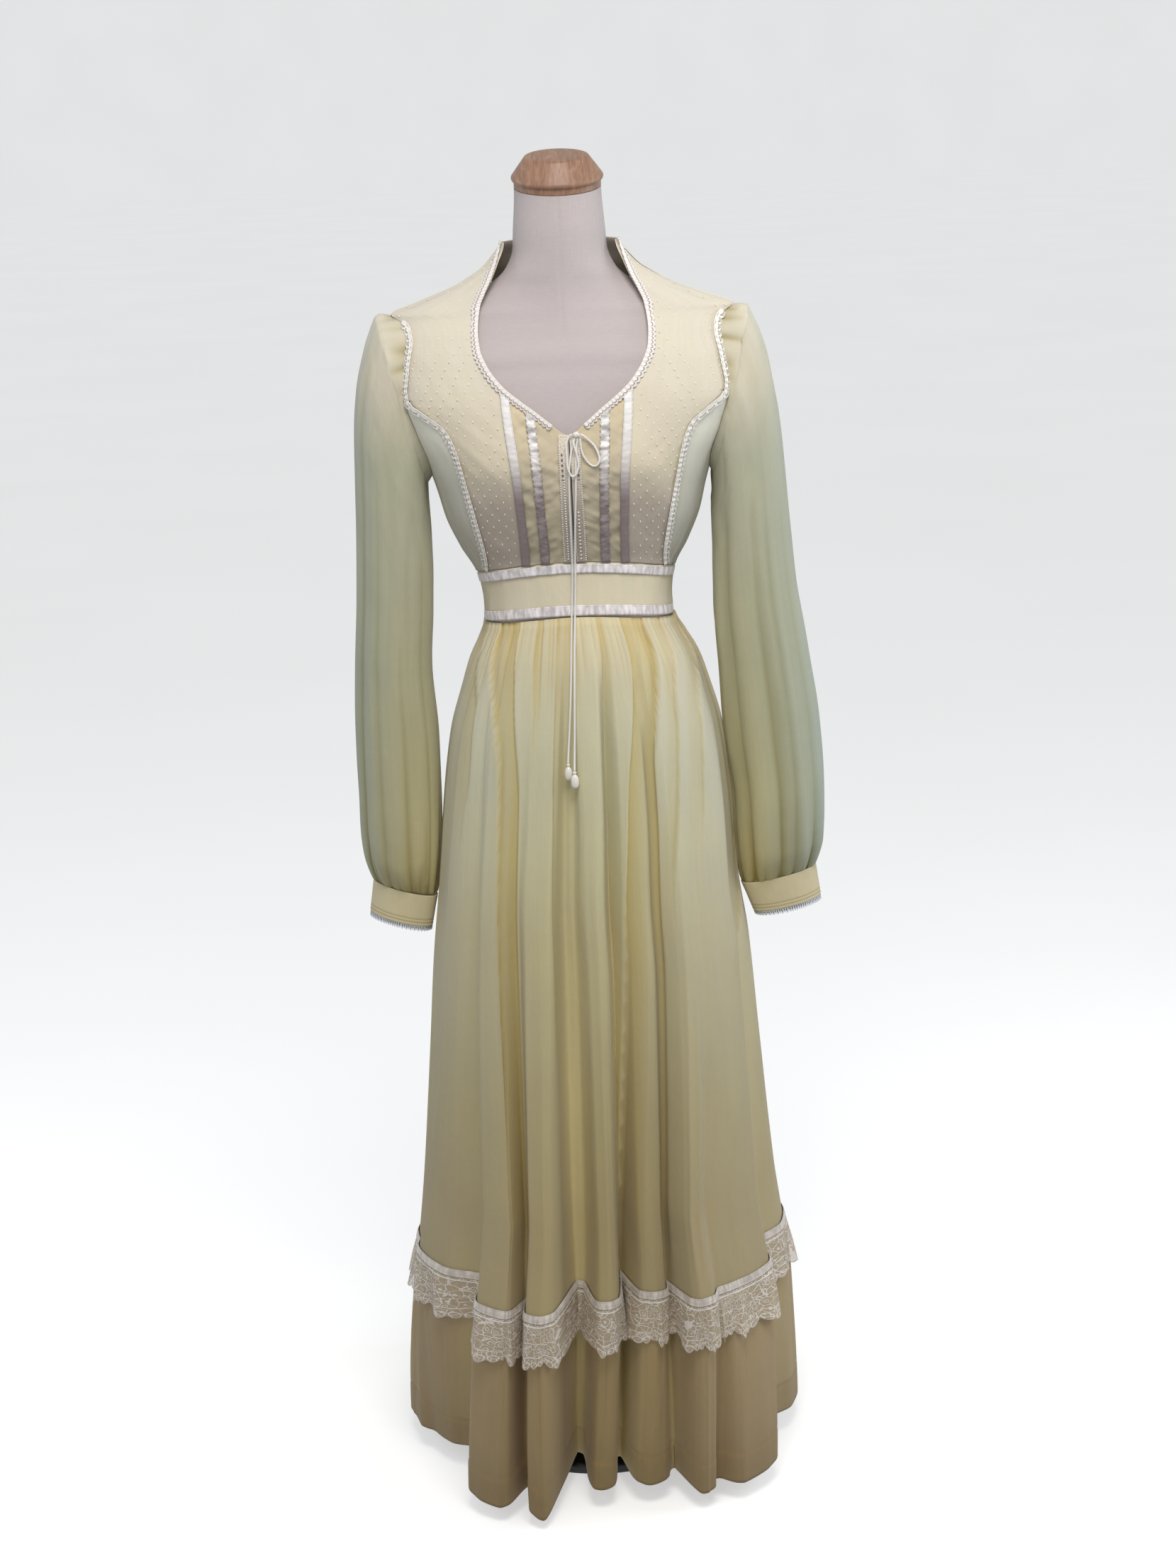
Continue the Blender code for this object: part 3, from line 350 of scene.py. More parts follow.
def gridMesh(columns, rows, place, closed=False, flip=False):
    # place(u, v) gives the points, with how deep in a fold they lie where it matters; that depth, kept as fold, paints
    # shade and light into the colour
    bm = bmesh.new()
    bm.loops.layers.uv.new("weave")
    fold = bm.verts.layers.float.new("fold")
    bmesh.ops.create_grid(bm, x_segments=columns, y_segments=rows, size=0.5, calc_uvs=True)
    spots = np.array([vertex.co[:2] for vertex in bm.verts]) + 0.5
    u = np.round(spots[:, 0] * columns) / columns
    v = np.round(spots[:, 1] * rows) / rows
    placed = place(u, v)
    points, depths = placed if isinstance(placed, tuple) else (placed, np.zeros(len(u)))
    for vertex, point, depth in zip(bm.verts, points, depths):
        vertex.co = point
        vertex[fold] = depth
    if closed:
        bmesh.ops.remove_doubles(bm, verts=bm.verts, dist=0.00002)
    if flip:
        bmesh.ops.reverse_faces(bm, faces=bm.faces)
    return bm


def clothPiece(name, bm, paint, size, wall=0.0006, nodes=(), held="gathered", on="form_torso"):
    piece = finishMesh(name, bm, paint, 180, size)
    shell = piece.modifiers.new("wall", "SOLIDIFY")
    shell.thickness = wall
    shell.offset = 0.0
    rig.replaces(piece, *nodes)
    if min(size) >= 0.01:  # a narrower strip is a trim, and no sheet
        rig.sheet(piece, flat=size, held=held, rests_on=[on])


def spunPiece(name, profile, steps, paint, place=None):  # a turned piece, profile of radius and height
    bm = bmesh.new()
    points = [bm.verts.new((radius, 0.0, height)) for radius, height in profile]
    edges = [bm.edges.new(pair) for pair in zip(points, points[1:])]
    bmesh.ops.spin(bm, geom=points + edges, cent=(0, 0, 0), axis=(0, 0, 1), angle=math.tau,
                   steps=steps, use_merge=True)
    bmesh.ops.remove_doubles(bm, verts=bm.verts, dist=0.000002)
    bmesh.ops.recalc_face_normals(bm, faces=bm.faces)
    if place is not None:
        bm.transform(place)
    return finishMesh(name, bm, paint, 40)


def beadRow(name, beads, radius, flatness, paint, tall=1.0):  # many small beads as one piece
    bm = bmesh.new()
    for point, normal in beads:
        turn = Vector(normal).to_track_quat("Z", "Y").to_matrix().to_4x4()
        size = Matrix.Diagonal((radius, radius * tall, radius * flatness, 1))
        bmesh.ops.create_icosphere(bm, subdivisions=1, radius=1.0, matrix=Matrix.Translation(point) @ turn @ size)
    finishMesh(name, bm, paint, 180)


# materials

slotOf = {}


def shade(red, green, blue):  # a colour as a screen shows it, 0 to 255
    return tuple(c / 255 / 12.92 if c < 11 else ((c / 255 + 0.055) / 1.055) ** 2.4 for c in (red, green, blue)) + (1.0,)


class Term:  # a value in a material that takes plain signs; | is the larger of two
    def __init__(self, paint, socket):
        self.paint, self.socket = paint, socket

    def math(self, kind, second=0.0, third=None, clamp=False):
        more = {} if third is None else {"n2": third}
        return self.paint.add("Math", settings={"operation": kind, "use_clamp": clamp}, n0=self, n1=second, **more)

    def __rsub__(self, first):
        return self.paint.add("Math", settings={"operation": "SUBTRACT"}, n0=first, n1=self)

    def __abs__(self):
        return self.math("ABSOLUTE")

    def between(self, low, high):
        return (self > low) * (self < high)

    def mapped(self, low=0.0, high=1.0, first=0.0, last=1.0):
        return self.paint.add("MapRange", Value=self, n1=low, n2=high, n3=first, n4=last)

    def ramp(self, low, high, *colours):  # red, green and blue, evenly from low to high or each after its place
        made = self.paint.add("ValToRGB", n0=self.mapped(low, high))
        stops = [c if len(c) == 4 else (k / (len(colours) - 1), *c) for k, c in enumerate(colours)]
        elements = made.socket.node.color_ramp.elements
        while len(elements) < len(stops):
            elements.new(0.5)
        for element, (place, *colour) in zip(elements, stops):
            element.position, element.color = place, shade(*colour)
        return made


for sign, kind in {"add": "ADD", "sub": "SUBTRACT", "mul": "MULTIPLY", "truediv": "DIVIDE", "lt": "LESS_THAN",
                   "gt": "GREATER_THAN", "or": "MAXIMUM"}.items():
    setattr(Term, "__" + sign + "__", lambda self, other, kind=kind: self.math(kind, other))


waveScale = 0.31416  # the wave texture's scale for one band per metre


class Paint:  # a material and short ways to add nodes to it
    def __init__(self, name, slot, rough=0.8, **sockets):
        self.made = bpy.data.materials.new(name)
        self.made.use_nodes = True
        self.tree = self.made.node_tree
        self.shader = self.tree.nodes["Principled BSDF"]
        for key, value in {"Roughness": rough, **sockets}.items():
            self.shader.inputs[key.replace("_", " ")].default_value = value
        self.spots = self.tree.nodes.new("ShaderNodeTexCoord")
        slotOf[name] = slot

    def add(self, kind, out=0, settings=None, **inputs):  # n0, n1 and so on are inputs by number
        node = self.tree.nodes.new("ShaderNode" + kind)
        for key, value in (settings or {}).items():
            setattr(node, key, value)
        for key, value in inputs.items():
            self.put(node.inputs[int(key[1:]) if key[1:].isdigit() else key], value)
        return Term(self, node.outputs[out])

    def put(self, socket, value):
        if isinstance(value, Term):
            self.tree.links.new(value.socket, socket)
        else:
            socket.default_value = value

    def spread(self, source, scale):  # coordinates by UV or Object, scaled per axis
        return self.add("Mapping", Vector=Term(self, self.spots.outputs[source]), Scale=scale)

    def noise(self, source, scale, detail=2.0, twist=0.0):
        return self.add("TexNoise", Vector=self.spread(source, scale), Scale=1.0, Detail=detail, Distortion=twist)

    def bands(self, source, scale, direction="X"):  # scale is bands per metre
        return self.add("TexWave", 1, {"bands_direction": direction}, Scale=scale * waveScale,
                        Vector=Term(self, self.spots.outputs[source]))

    def axis(self, source, number):
        return self.add("SeparateXYZ", number, Vector=Term(self, self.spots.outputs[source]))

    def blend(self, amount, first, second, mode="MIX"):
        return self.add("Mix", 2, {"data_type": "RGBA", "blend_type": mode}, n0=amount, n6=first, n7=second)

    def dim(self, tint, red, green, blue):
        return self.blend(1.0, tint, self.add("CombineColor", n0=red, n1=green, n2=blue), "MULTIPLY")

    def bump(self, height, distance, strength, under=None):
        under = {} if under is None else {"Normal": under}
        return self.add("Bump", Height=height, Distance=distance, Strength=strength, **under)

    def finish(self, colour, normal=None, rough=None, alpha=None):
        for key, value in {"Base Color": colour, "Normal": normal, "Roughness": rough, "Alpha": alpha}.items():
            if value is not None:
                self.put(self.shader.inputs[key], value)
        return self.made


def voile(name, slot, low, high, colours, streaks, crinkle=0.0006, deep=(0.96, 0.88, 0.62, 1.0), sides=None, pale=None,
          middle=None):
    # deep multiplies the colour in the folds as painted shade, pale is painted light: a lighter colour in hollows that
    # light shines through, sides is two widths from the middle and a painted-light tint out there, middle the same with
    # a colour that multiplies
    p = Paint(name, slot, 0.85, Sheen_Weight=0.15, Sheen_Roughness=0.5, Specular_IOR_Level=0.2)
    tint = p.axis("Object", 2).ramp(low, high, *colours)
    # painted light: towards the outer sides the colour turns to the sides tint that light through the cloth gives
    if sides:
        tint = p.blend(abs(p.axis("Object", 0)).mapped(*sides[:2]), tint, sides[2])
    if middle:
        tint = p.blend(abs(p.axis("Object", 0)).mapped(*middle[:2], 1.0, 0.0), tint, middle[2], "MULTIPLY")
    fold = p.add("Attribute", 2, {"attribute_name": "fold"})
    # painted light: where fold is below zero the colour is lightened towards pale
    if pale:
        tint = p.blend(fold.math("MULTIPLY", -1.0, clamp=True), tint, pale)
    # painted shade: where fold is above zero the colour is darkened by deep
    tint = p.blend(fold.math("MAXIMUM", 0.0, clamp=True), tint, deep, "MULTIPLY")
    streak = p.noise("UV", (260, 9, 1), 3)
    cross = p.noise("UV", (9, 420, 1), 2).mapped(first=1 - streaks * 0.35, last=1 + streaks * 0.35)
    amount = streak.math("MULTIPLY_ADD", 2 * streaks, 1.0 - streaks) * cross
    cloudy = amount * p.noise("Object", (26, 26, 14), 3).mapped(first=0.95, last=1.05)
    weave = p.bands("UV", 1300, "X") + p.bands("UV", 1300, "Y")
    normal = p.bump(weave, 0.00012, 0.35, p.bump(p.noise("UV", (150, 70, 1), 4), crinkle, 0.8))
    return p.finish(p.dim(tint, cloudy, cloudy, amount * amount), normal, streak.mapped(first=0.78, last=0.92))


def satin(name, colours, low, high, wide, bars, pitch, across=0):
    # bars is how strongly the gather marks show, in painted highlights and shade on the puckers, and pitch their size,
    # across the UV axis over the width
    p = Paint(name, "satin", 0.4, Sheen_Weight=0.3, Anisotropic=0.4, Specular_IOR_Level=0.45)
    fromEdge = wide / 2 - abs(p.axis("UV", across) - wide / 2)
    stitch = (abs(fromEdge - 0.0013) < 0.00028) | (fromEdge < 0.0005)
    marks = p.noise("UV", (1 / pitch, 60, 1) if across else (60, 1 / pitch, 1), 2)
    # painted highlights and shade: the gather marks lighten and darken the colour
    shades = marks.mapped(0.34, 0.66, 1 - bars, 1 + bars * 0.6) * stitch.mapped(first=1.0, last=0.8)
    tint = p.dim(p.axis("Object", 2).ramp(low, high, *colours), shades, shades, shades)
    normal = p.bump(p.bands("UV", 2600, "XY"[1 - across]), 0.00006, 0.3, p.bump(marks, 0.0012, 0.6))
    return p.finish(tint, normal, marks.mapped(first=0.3, last=0.5))


def loops(run, pitch, across, middle, tall):
    # how far from the nearest of a row of ovals, 1 on its rim: run along the row, tall the oval's half sizes
    x, y = (pitch / 2 - run.math("PINGPONG", pitch / 2)) / tall[0], (across - middle) / tall[1]
    return (x * x + y * y).math("SQRT")


def lacePaint(name):
    return Paint(name, "lace", 0.8, Sheen_Weight=0.2, Specular_IOR_Level=0.25)


def frillLace(name, white, tinge, wide, stretch):
    # fine net with scrolls and flowers, two corded lines and loops along its scallops
    p = lacePaint(name)
    down = p.axis("UV", 1)

    def spread(count):
        return p.spread("UV", (count / stretch, count, 1))

    def cells(kind, vector):
        return p.add("TexVoronoi", 0, {"feature": kind}, Vector=vector, Scale=1.0)

    net = cells("DISTANCE_TO_EDGE", spread(700)) < 0.1
    bend = p.add("TexNoise", 1, Vector=spread(170), Scale=1.0, Detail=1.0)
    moved = p.add("VectorMath", 0, {"operation": "MULTIPLY_ADD"}, n0=bend, n1=(0.6, 0.6, 0), n2=spread(145))
    petal = cells("F1", moved)
    flower = ((petal * 30.0).math("SINE") > 0.45) * (petal < 0.4)
    motif = flower | (cells("DISTANCE_TO_EDGE", moved) < 0.038)
    wave = p.noise("UV", (40 / stretch, 2, 1), 1).math("MULTIPLY_ADD", 0.003, down)
    rim = loops(p.axis("UV", 0), 0.0125, down, 0.0042, (0.005, 0.0036))
    lines = (wave.between(0.014, 0.0148) | wave.between(0.03, 0.0306) | rim.between(0.88, 1.1) * (down < 0.009)
             | down.between(wide - 0.0035, wide - 0.002))
    solid = net * 0.5 | motif * 0.72 | lines * 0.9 | 0.34
    return p.finish(p.blend(motif | lines, tinge, white), p.bump(solid, 0.0006, 0.8), alpha=solid)


def chainLace(name, pitch, middle, tall, white, shadow, wide, ground=0.45):
    # a narrow edging along V: a row of white ovals in dark rings of painted shadow on fine net, and a white loop edge
    p = lacePaint(name)
    across, run = p.axis("UV", 0), p.axis("UV", 1)
    ring = loops(run, pitch, across, middle, tall)
    oval, dark = ring < 1.0, ring.between(1.0, 1.5)
    edge = loops(run, pitch, across, wide - tall[0] * 1.2, (tall[0] * 1.5, tall[0] * 1.4))
    cords = edge.between(0.8, 1.25) | (across < 0.001)
    # painted shadow: the rings round the ovals take the shadow colour
    tint = p.blend(oval | cords, p.blend(dark * 0.9, white, shadow), white)
    return p.finish(tint, p.bump(ring, 0.0003, 0.5), alpha=(cords | oval) | (dark * 0.8 | ground))


def tapeLace(name, wide):
    # a ladder of small openings near the top, painted as dark ovals of shade, and a fine speckle below; the tape is
    # darker towards the bottom as painted shade under the bust
    p = Paint(name, "lace", 0.75, Sheen_Weight=0.2, Specular_IOR_Level=0.3)
    across, height = p.axis("UV", 0), p.axis("Object", 2)
    # painted shade: darker towards the bottom, under the bust
    tint = height.ramp(1.07, 1.23, (0.0, 180, 168, 156), (0.5, 188, 176, 162), (0.72, 214, 203, 188),
                       (1.0, 232, 222, 204))
    speck = p.noise("UV", (700, 520, 1), 3).mapped(0.35, 0.65, 0.72, 1.16)
    # painted shade: dark ovals where the openings are
    ladderShade = (loops(height, 0.0056, across, wide - 0.003, (0.0017, 0.0011)) < 1.0) * height.between(1.179, 1.21)
    edges = wide / 2 - abs(across - wide / 2) < 0.0008
    tint = p.blend(ladderShade * 0.85, p.dim(tint, speck, speck, speck), shade(84, 58, 52))
    return p.finish(p.blend(edges * 0.5, tint, shade(236, 230, 222)), p.bump(speck, 0.0004, 0.7))


def crossLace(name, pitch, wide, white, gap):
    # two zigzag threads that cross, along U, with painted shade in the gaps of their upper half, for the shaded inside
    # of the cuff
    p = lacePaint(name)
    rise = p.axis("UV", 0).math("PINGPONG", pitch / 2) / (pitch / 2)
    down = p.axis("UV", 1) / wide
    thread = (abs(rise - down) < 0.2) | (abs(1.0 - rise - down) < 0.2)
    # painted shade: the gaps take the dark gap colour
    return p.finish(p.blend(thread, gap, white), p.bump(thread, 0.0004, 0.7), alpha=thread | (down < 0.72))


def grained(name, slot, rough, grain, colours, relief=None, gloss=None, low=0.3, high=0.7, **sockets):
    # a plain material with a grain in its colour, its relief and its gloss
    p = Paint(name, slot, rough, **sockets)
    grain = p.noise("Object", *grain)
    return p.finish(grain.ramp(low, high, *colours), relief and p.bump(grain, *relief),
                    gloss and grain.mapped(first=gloss[0], last=gloss[1]))


trims = {
    "ribbon": 0.0095, "waistRibbon": 0.0105, "heading": 0.0104, "hemLace": 0.05, "cuffLace": 0.0085,
    "neckLace": 0.0066, "yokeLace": 0.0086, "tapeInner": 0.0016, "tapeOuter": 0.0118,
    "scallop": 0.006, "yokeScallop": 0.0076,
    "long": {"ribbon": 0.21, "tape": 0.165, "neckLace": 0.285, "yokeLace": 0.31, "waistRibbon": 0.265},
    "waist": (("lower", 1.01, 1.0205), ("upper", 1.054, 1.0645)),  # the waist ribbons' lower and upper edges
    # rows of pearls and picots: name, place across, lowest, highest, apart, radius, paint
    "pearls": {"left": ("pearls", 0.0074, 1.072, 1.179, 0.0034, 0.00115, "pearl"),
               "right": ("pearls", 0.0064, 1.072, 1.136, 0.0048, 0.00125, "pearl")},
    "picots": ("picots", 0.0119, 1.07, 1.218, 0.0029, 0.00075, "cord"),
}


def makePaints():
    bodiceRibbon = (1.06, 1.27, trims["ribbon"])
    made = {
        # painted shade: the skirt's colour darkens towards the hem, where less light falls; deep paints shade into
        # folds and creases, pale paints light into the hollows
        "skirt": voile("skirtVoile", "voile", 0.02, 1.02, [
            (0.0, 162, 140, 105), (0.08, 176, 153, 115), (0.17, 181, 158, 120), (0.25, 183, 167, 130),
            (0.34, 183, 168, 131), (0.45, 188, 176, 139), (0.56, 195, 185, 152), (0.65, 197, 188, 156),
            (0.74, 206, 201, 172), (0.88, 208, 205, 184), (1.0, 222, 213, 190)], 0.04,
            deep=(0.84, 0.71, 0.38, 1.0), pale=shade(236, 222, 168), middle=(0.04, 0.16, (0.99, 0.97, 0.84, 1.0))),
        # painted shade: the bodice darker below the bust
        "bodice": voile("bodiceVoile", "dotted_voile", 1.05, 1.43, [
            (0.0, 192, 180, 167), (0.25, 193, 181, 165), (0.38, 226, 214, 188), (0.62, 222, 213, 193),
            (0.85, 218, 210, 193), (1.0, 214, 206, 188)], 0.03),
        "plain": voile("plainVoile", "voile", 1.0, 1.4, [(228, 217, 190), (230, 220, 190), (232, 223, 194)], 0.04),
        # painted shade: deep darkens the cuff's stitch grooves
        "cuff": voile("cuffVoile", "voile", 0.64, 0.71, [(218, 206, 168), (222, 210, 172)], 0.03,
                      deep=(0.62, 0.54, 0.36, 1.0)),
        # painted shade: the insets darker below the bust
        "inset": voile("insetVoile", "voile", 1.05, 1.28, [(186, 175, 150), (200, 188, 162), (223, 207, 174)],
                       0.03, 0.001),
        # painted shade: the sleeves darker and greyer at mid height, lighter at the top; painted light: grey-green
        # towards the outer sides; deep paints shade into the gathers and folds
        "sleeve": voile("sleeveVoile", "sleeve_voile", 0.68, 1.36, [
            (0.0, 204, 190, 138), (0.12, 200, 191, 146), (0.4, 184, 181, 148), (0.75, 188, 187, 162),
            (0.88, 216, 207, 184), (1.0, 220, 213, 194)], 0.05,
            deep=(0.6, 0.55, 0.34, 1.0), sides=(0.2, 0.28, shade(178, 186, 170))),
        # painted shade: the side fronts darker towards the waist, under the arm
        "side": voile("sideVoile", "sleeve_voile", 1.05, 1.28, [
            (0.0, 190, 186, 172), (0.5, 208, 205, 189), (0.72, 238, 236, 218), (1.0, 242, 240, 224)], 0.03),
        # painted shade and reflection: the ribbons dark below the bust, where the satin turns down from the light,
        # bright above
        "ribbon": satin("ribbonSatin", [
            (0.0, 134, 118, 118), (0.46, 140, 124, 124), (0.66, 228, 221, 217), (1.0, 246, 243, 240)],
            *bodiceRibbon, 0.12, 0.005),
        # the same painted shade and reflection, with stronger painted highlights and shade on the puckers
        "puckered": satin("puckeredSatin", [
            (0.0, 140, 125, 125), (0.46, 150, 136, 136), (0.66, 226, 219, 215), (1.0, 246, 243, 240)],
            *bodiceRibbon, 0.55, 0.007),
        "waistRibbon": satin("waistSatin", [(240, 232, 231), (246, 239, 239)], 1.0, 1.09, trims["waistRibbon"],
                             0.34, 0.005, 1),
        "heading": satin("headingSatin", [(216, 205, 192), (224, 214, 202)], 0.24, 0.28, trims["heading"],
                         0.26, 0.006, 1),
        "hemLace": frillLace("hemLace", shade(255, 248, 238), shade(232, 214, 186), trims["hemLace"], 1.45),
        "neckEdge": chainLace("neckLace", 0.006, 0.003, (0.0021, 0.0015), shade(240, 233, 228),
                              shade(146, 124, 114), trims["neckLace"], 0.7),
        "yokeEdge": chainLace("yokeLace", 0.0076, 0.0034, (0.0026, 0.0018), shade(244, 240, 232),
                              shade(162, 148, 130), trims["yokeLace"]),
        "tape": tapeLace("tapeLace", trims["tapeOuter"] - trims["tapeInner"]),
        "cuffEdge": crossLace("cuffLace", 0.0042, trims["cuffLace"], shade(232, 234, 240), shade(96, 104, 122)),
        "pearl": grained("pearl", "bead", 0.28, [(60, 60, 60)], [(244, 240, 232), (232, 226, 214)],
                         Coat_Weight=0.4),
        "dot": grained("dotThread", "dotted_voile", 0.85, [(300, 300, 300)], [(246, 242, 218), (232, 224, 190)],
                       Sheen_Weight=0.3),
        "wood": grained("capWood", "wood", 0.5, [(240, 24, 60), 5.0, 1.2],
                        [(126, 92, 73), (145, 109, 86), (162, 126, 100)], (0.0001, 0.3), (0.45, 0.58),
                        Coat_Weight=0.12, Coat_Roughness=0.35),
        "steel": grained("poleSteel", "steel", 0.3, [(900, 900, 6), 3], [(176, 176, 178), (204, 204, 206)],
                         (0.00005, 0.4), (0.22, 0.4), Metallic=1.0, Anisotropic=0.5),
        "black": grained("baseBlack", "black_metal", 0.42, [(700, 700, 700), 3], [(22, 22, 23), (34, 34, 35)],
                         (0.00015, 0.4), (0.35, 0.5)),
    }

    p = Paint("braid", "cord", 0.62, Sheen_Weight=0.2)
    plait = p.bands("Object", 900, "DIAGONAL")
    made["cord"] = p.finish(plait.ramp(0, 1, (226, 222, 214), (246, 244, 240)), p.bump(plait, 0.0002, 0.8))

    p = Paint("formLinen", "linen", 0.9, Sheen_Weight=0.15)
    slub = p.noise("Object", (900, 900, 60), 3) + p.noise("Object", (90, 90, 900), 3)
    weave = p.bands("UV", 900, "X") + p.bands("UV", 900, "Y")
    made["linen"] = p.finish(slub.ramp(0.6, 1.4, (186, 175, 174), (190, 180, 179), (195, 184, 183)),
                             p.bump(weave, 0.00008, 0.3, p.bump(slub, 0.00008, 0.3)))
    return made


paints = makePaints()
print("materials made:", len(paints))


# camera, floor and lights

view = {"place": (0.01, -3.0, 1.6), "down": 14.8, "roll": -2.06, "lens": 61.29, "sensor": 36.0, "nearest": 0.05}
room = {"half": 40.0, "high": 30.0, "glow": 0.5, "air": (0.94, 0.96, 1.0, 1.0), "airLight": 0.34}
lamps = {  # place, target, size, power, tint
    "overhead": ((0.12, -1.15, 2.55), (0.0, 0.0, 1.1), 0.9, 23.0, (1.0, 0.98, 0.95)),
    "frontFill": ((-0.6, -3.2, 1.9), (0.0, 0.0, 0.9), 1.8, 8.0, (1.0, 1.0, 1.0)),
    "leftEdge": ((-2.2, 0.5, 1.7), (0.0, 0.0, 1.0), 1.2, 8.5, (0.78, 0.87, 1.0)),
    "rightEdge": ((2.2, 0.0, 1.5), (0.0, 0.0, 0.9), 1.2, 18.0, (0.9, 0.95, 1.0)),
}

lens = bpy.data.cameras.new("camera")
lens.lens, lens.sensor_width, lens.clip_start = view["lens"], view["sensor"], view["nearest"]
camera = linked("camera", lens)
camera.matrix_world = (Matrix.Translation(view["place"]) @ Matrix.Rotation(math.radians(90 - view["down"]), 4, "X")
                       @ Matrix.Rotation(math.radians(view["roll"]), 4, "Z"))
bpy.context.scene.camera = camera
bpy.context.scene.view_settings.view_transform = "Standard"

bm = bmesh.new()
bmesh.ops.create_grid(bm, x_segments=1, y_segments=1, size=room["half"])
walls = bmesh.ops.extrude_edge_only(bm, edges=[edge for edge in bm.edges if edge.is_boundary])["geom"]
corners = [part for part in walls if isinstance(part, bmesh.types.BMVert)]
bmesh.ops.translate(bm, verts=corners, vec=(0, 0, room["high"]))
floorMesh = bpy.data.meshes.new("floor")
bm.to_mesh(floorMesh)
bm.free()
floor = linked("floor", floorMesh)
floorMesh.materials.append(grained("floorPaper", "linen", 0.9, [(1, 1, 1)], [(232, 232, 230), (240, 240, 238)],
                                   low=0.2, high=0.8, Specular_IOR_Level=0.0, Emission_Color=(1.0, 1.0, 1.0, 1.0),
                                   Emission_Strength=room["glow"]))
floor.visible_diffuse = False  # the pale floor throws no light up at the hem
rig.stage(floor)

world = bpy.data.worlds.new("paleRoom")
bpy.context.scene.world = world
world.use_nodes = True
air = world.node_tree.nodes["Background"].inputs
air["Color"].default_value, air["Strength"].default_value = room["air"], room["airLight"]

for name, (place, target, size, power, tint) in lamps.items():
    lamp = bpy.data.lights.new(name, "AREA")
    lamp.size, lamp.energy, lamp.color = size, power, tint
    turn = (Vector(target) - Vector(place)).to_track_quat("-Z", "Y").to_matrix().to_4x4()
    linked(name, lamp).matrix_world = Matrix.Translation(place) @ turn
print("camera and lights set")


# tie: two hanging strands, two loops and the knot

tie = {
    "radius": 0.00115,
    "strands": {
        "left": [
            (0.0093, -0.1168, 1.2246), (0.0068, -0.1174, 1.217), (0.0045, -0.1181, 1.209),
            (0.002, -0.1192, 1.19), (0.001, -0.1158, 1.16), (0.0012, -0.1058, 1.125),
            (0.0014, -0.0906, 1.0867), (0.0012, -0.0874, 1.07), (0.0003, -0.0852, 1.05),
            (-0.0008, -0.0858, 1.032), (-0.0017, -0.0894, 1.015), (-0.003, -0.0972, 0.99),
            (-0.005, -0.1098, 0.949), (-0.008, -0.1195, 0.905), (-0.01, -0.1262, 0.882),
            (-0.0112, -0.1322, 0.867)],
        "right": [
            (0.0121, -0.1168, 1.2246), (0.011, -0.1174, 1.217), (0.01, -0.1182, 1.209),
            (0.009, -0.1194, 1.19), (0.0078, -0.1158, 1.16), (0.006, -0.1056, 1.125),
            (0.0046, -0.0906, 1.0867), (0.0043, -0.0876, 1.07), (0.0036, -0.0854, 1.05),
            (0.0026, -0.086, 1.032), (0.0018, -0.0899, 1.015), (0.0006, -0.0988, 0.99),
            (-0.001, -0.1124, 0.949), (-0.0025, -0.1232, 0.905), (-0.0036, -0.1318, 0.878),
            (-0.0044, -0.1405, 0.86)]},
    "loops": {
        "left": [
            (0.0066, -0.1172, 1.2293), (0.003, -0.1175, 1.227), (0.0005, -0.1182, 1.2215),
            (-0.0005, -0.1192, 1.215), (0.0, -0.1206, 1.204), (0.0003, -0.1217, 1.1945),
            (0.003, -0.1223, 1.1865), (0.006, -0.1223, 1.1843), (0.01, -0.1223, 1.188),
            (0.0122, -0.1221, 1.197), (0.011, -0.1219, 1.206), (0.009, -0.1215, 1.214),
            (0.0075, -0.1207, 1.22), (0.0073, -0.1197, 1.224)],
        "right": [
            (0.015, -0.1172, 1.229), (0.0195, -0.1166, 1.2262), (0.025, -0.1166, 1.2215),
            (0.03, -0.1174, 1.216), (0.0338, -0.1192, 1.208), (0.035, -0.1202, 1.201),
            (0.0325, -0.1202, 1.1955), (0.028, -0.1192, 1.1945), (0.0235, -0.1184, 1.1975),
            (0.0187, -0.1182, 1.204), (0.0162, -0.118, 1.211), (0.0152, -0.1182, 1.218),
            (0.0148, -0.1184, 1.2244)]},
    "knot": (0.0108, -0.1171, 1.2286), "flute": 0.07,
    "knotSize": (0.0038, 0.0032, 0.0034),
    "tip": [(0.0, 0.0), (0.0013, -0.0004), (0.002, -0.0011), (0.0022, -0.0018), (0.002, -0.0026),
            (0.0013, -0.0036), (0.0016, -0.0043), (0.003, -0.0056), (0.0041, -0.008), (0.0046, -0.0105),
            (0.0046, -0.013), (0.0044, -0.0155), (0.0038, -0.0176), (0.0026, -0.0192), (0.0, -0.02)],
}


def smoothRoute(points, count):
    points = [Vector(point) for point in points]
    ends = [points[0] * 2 - points[1]] + points + [points[-1] * 2 - points[-2]]
    route = []
    for number in range(count + 1):
        place = number / count * (len(points) - 1)
        index = min(int(place), len(points) - 2)
        t = place - index
        a, b, c, d = ends[index:index + 4]
        route.append(0.5 * (2 * b + (c - a) * t + (2 * a - 5 * b + 4 * c - d) * t**2
                            + (3 * b - a - 3 * c + d) * t**3))
    return route


def cordPiece(name, route):
    curve = bpy.data.curves.new(name, "CURVE")
    curve.dimensions = "3D"
    curve.bevel_depth = tie["radius"]
    curve.bevel_resolution = 4
    curve.use_fill_caps = True
    spline = curve.splines.new("POLY")
    spline.points.add(len(route) - 1)
    for spot, point in zip(spline.points, route):
        spot.co = (*point, 1.0)
    spline.use_smooth = True
    curve.materials.append(paints["cord"])
    piece = linked(name, curve)
    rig.ride(piece, "root")
    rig.slot(piece, "cord")
    return piece


def routeLength(route):
    return sum((b - a).length for a, b in zip(route, route[1:]))


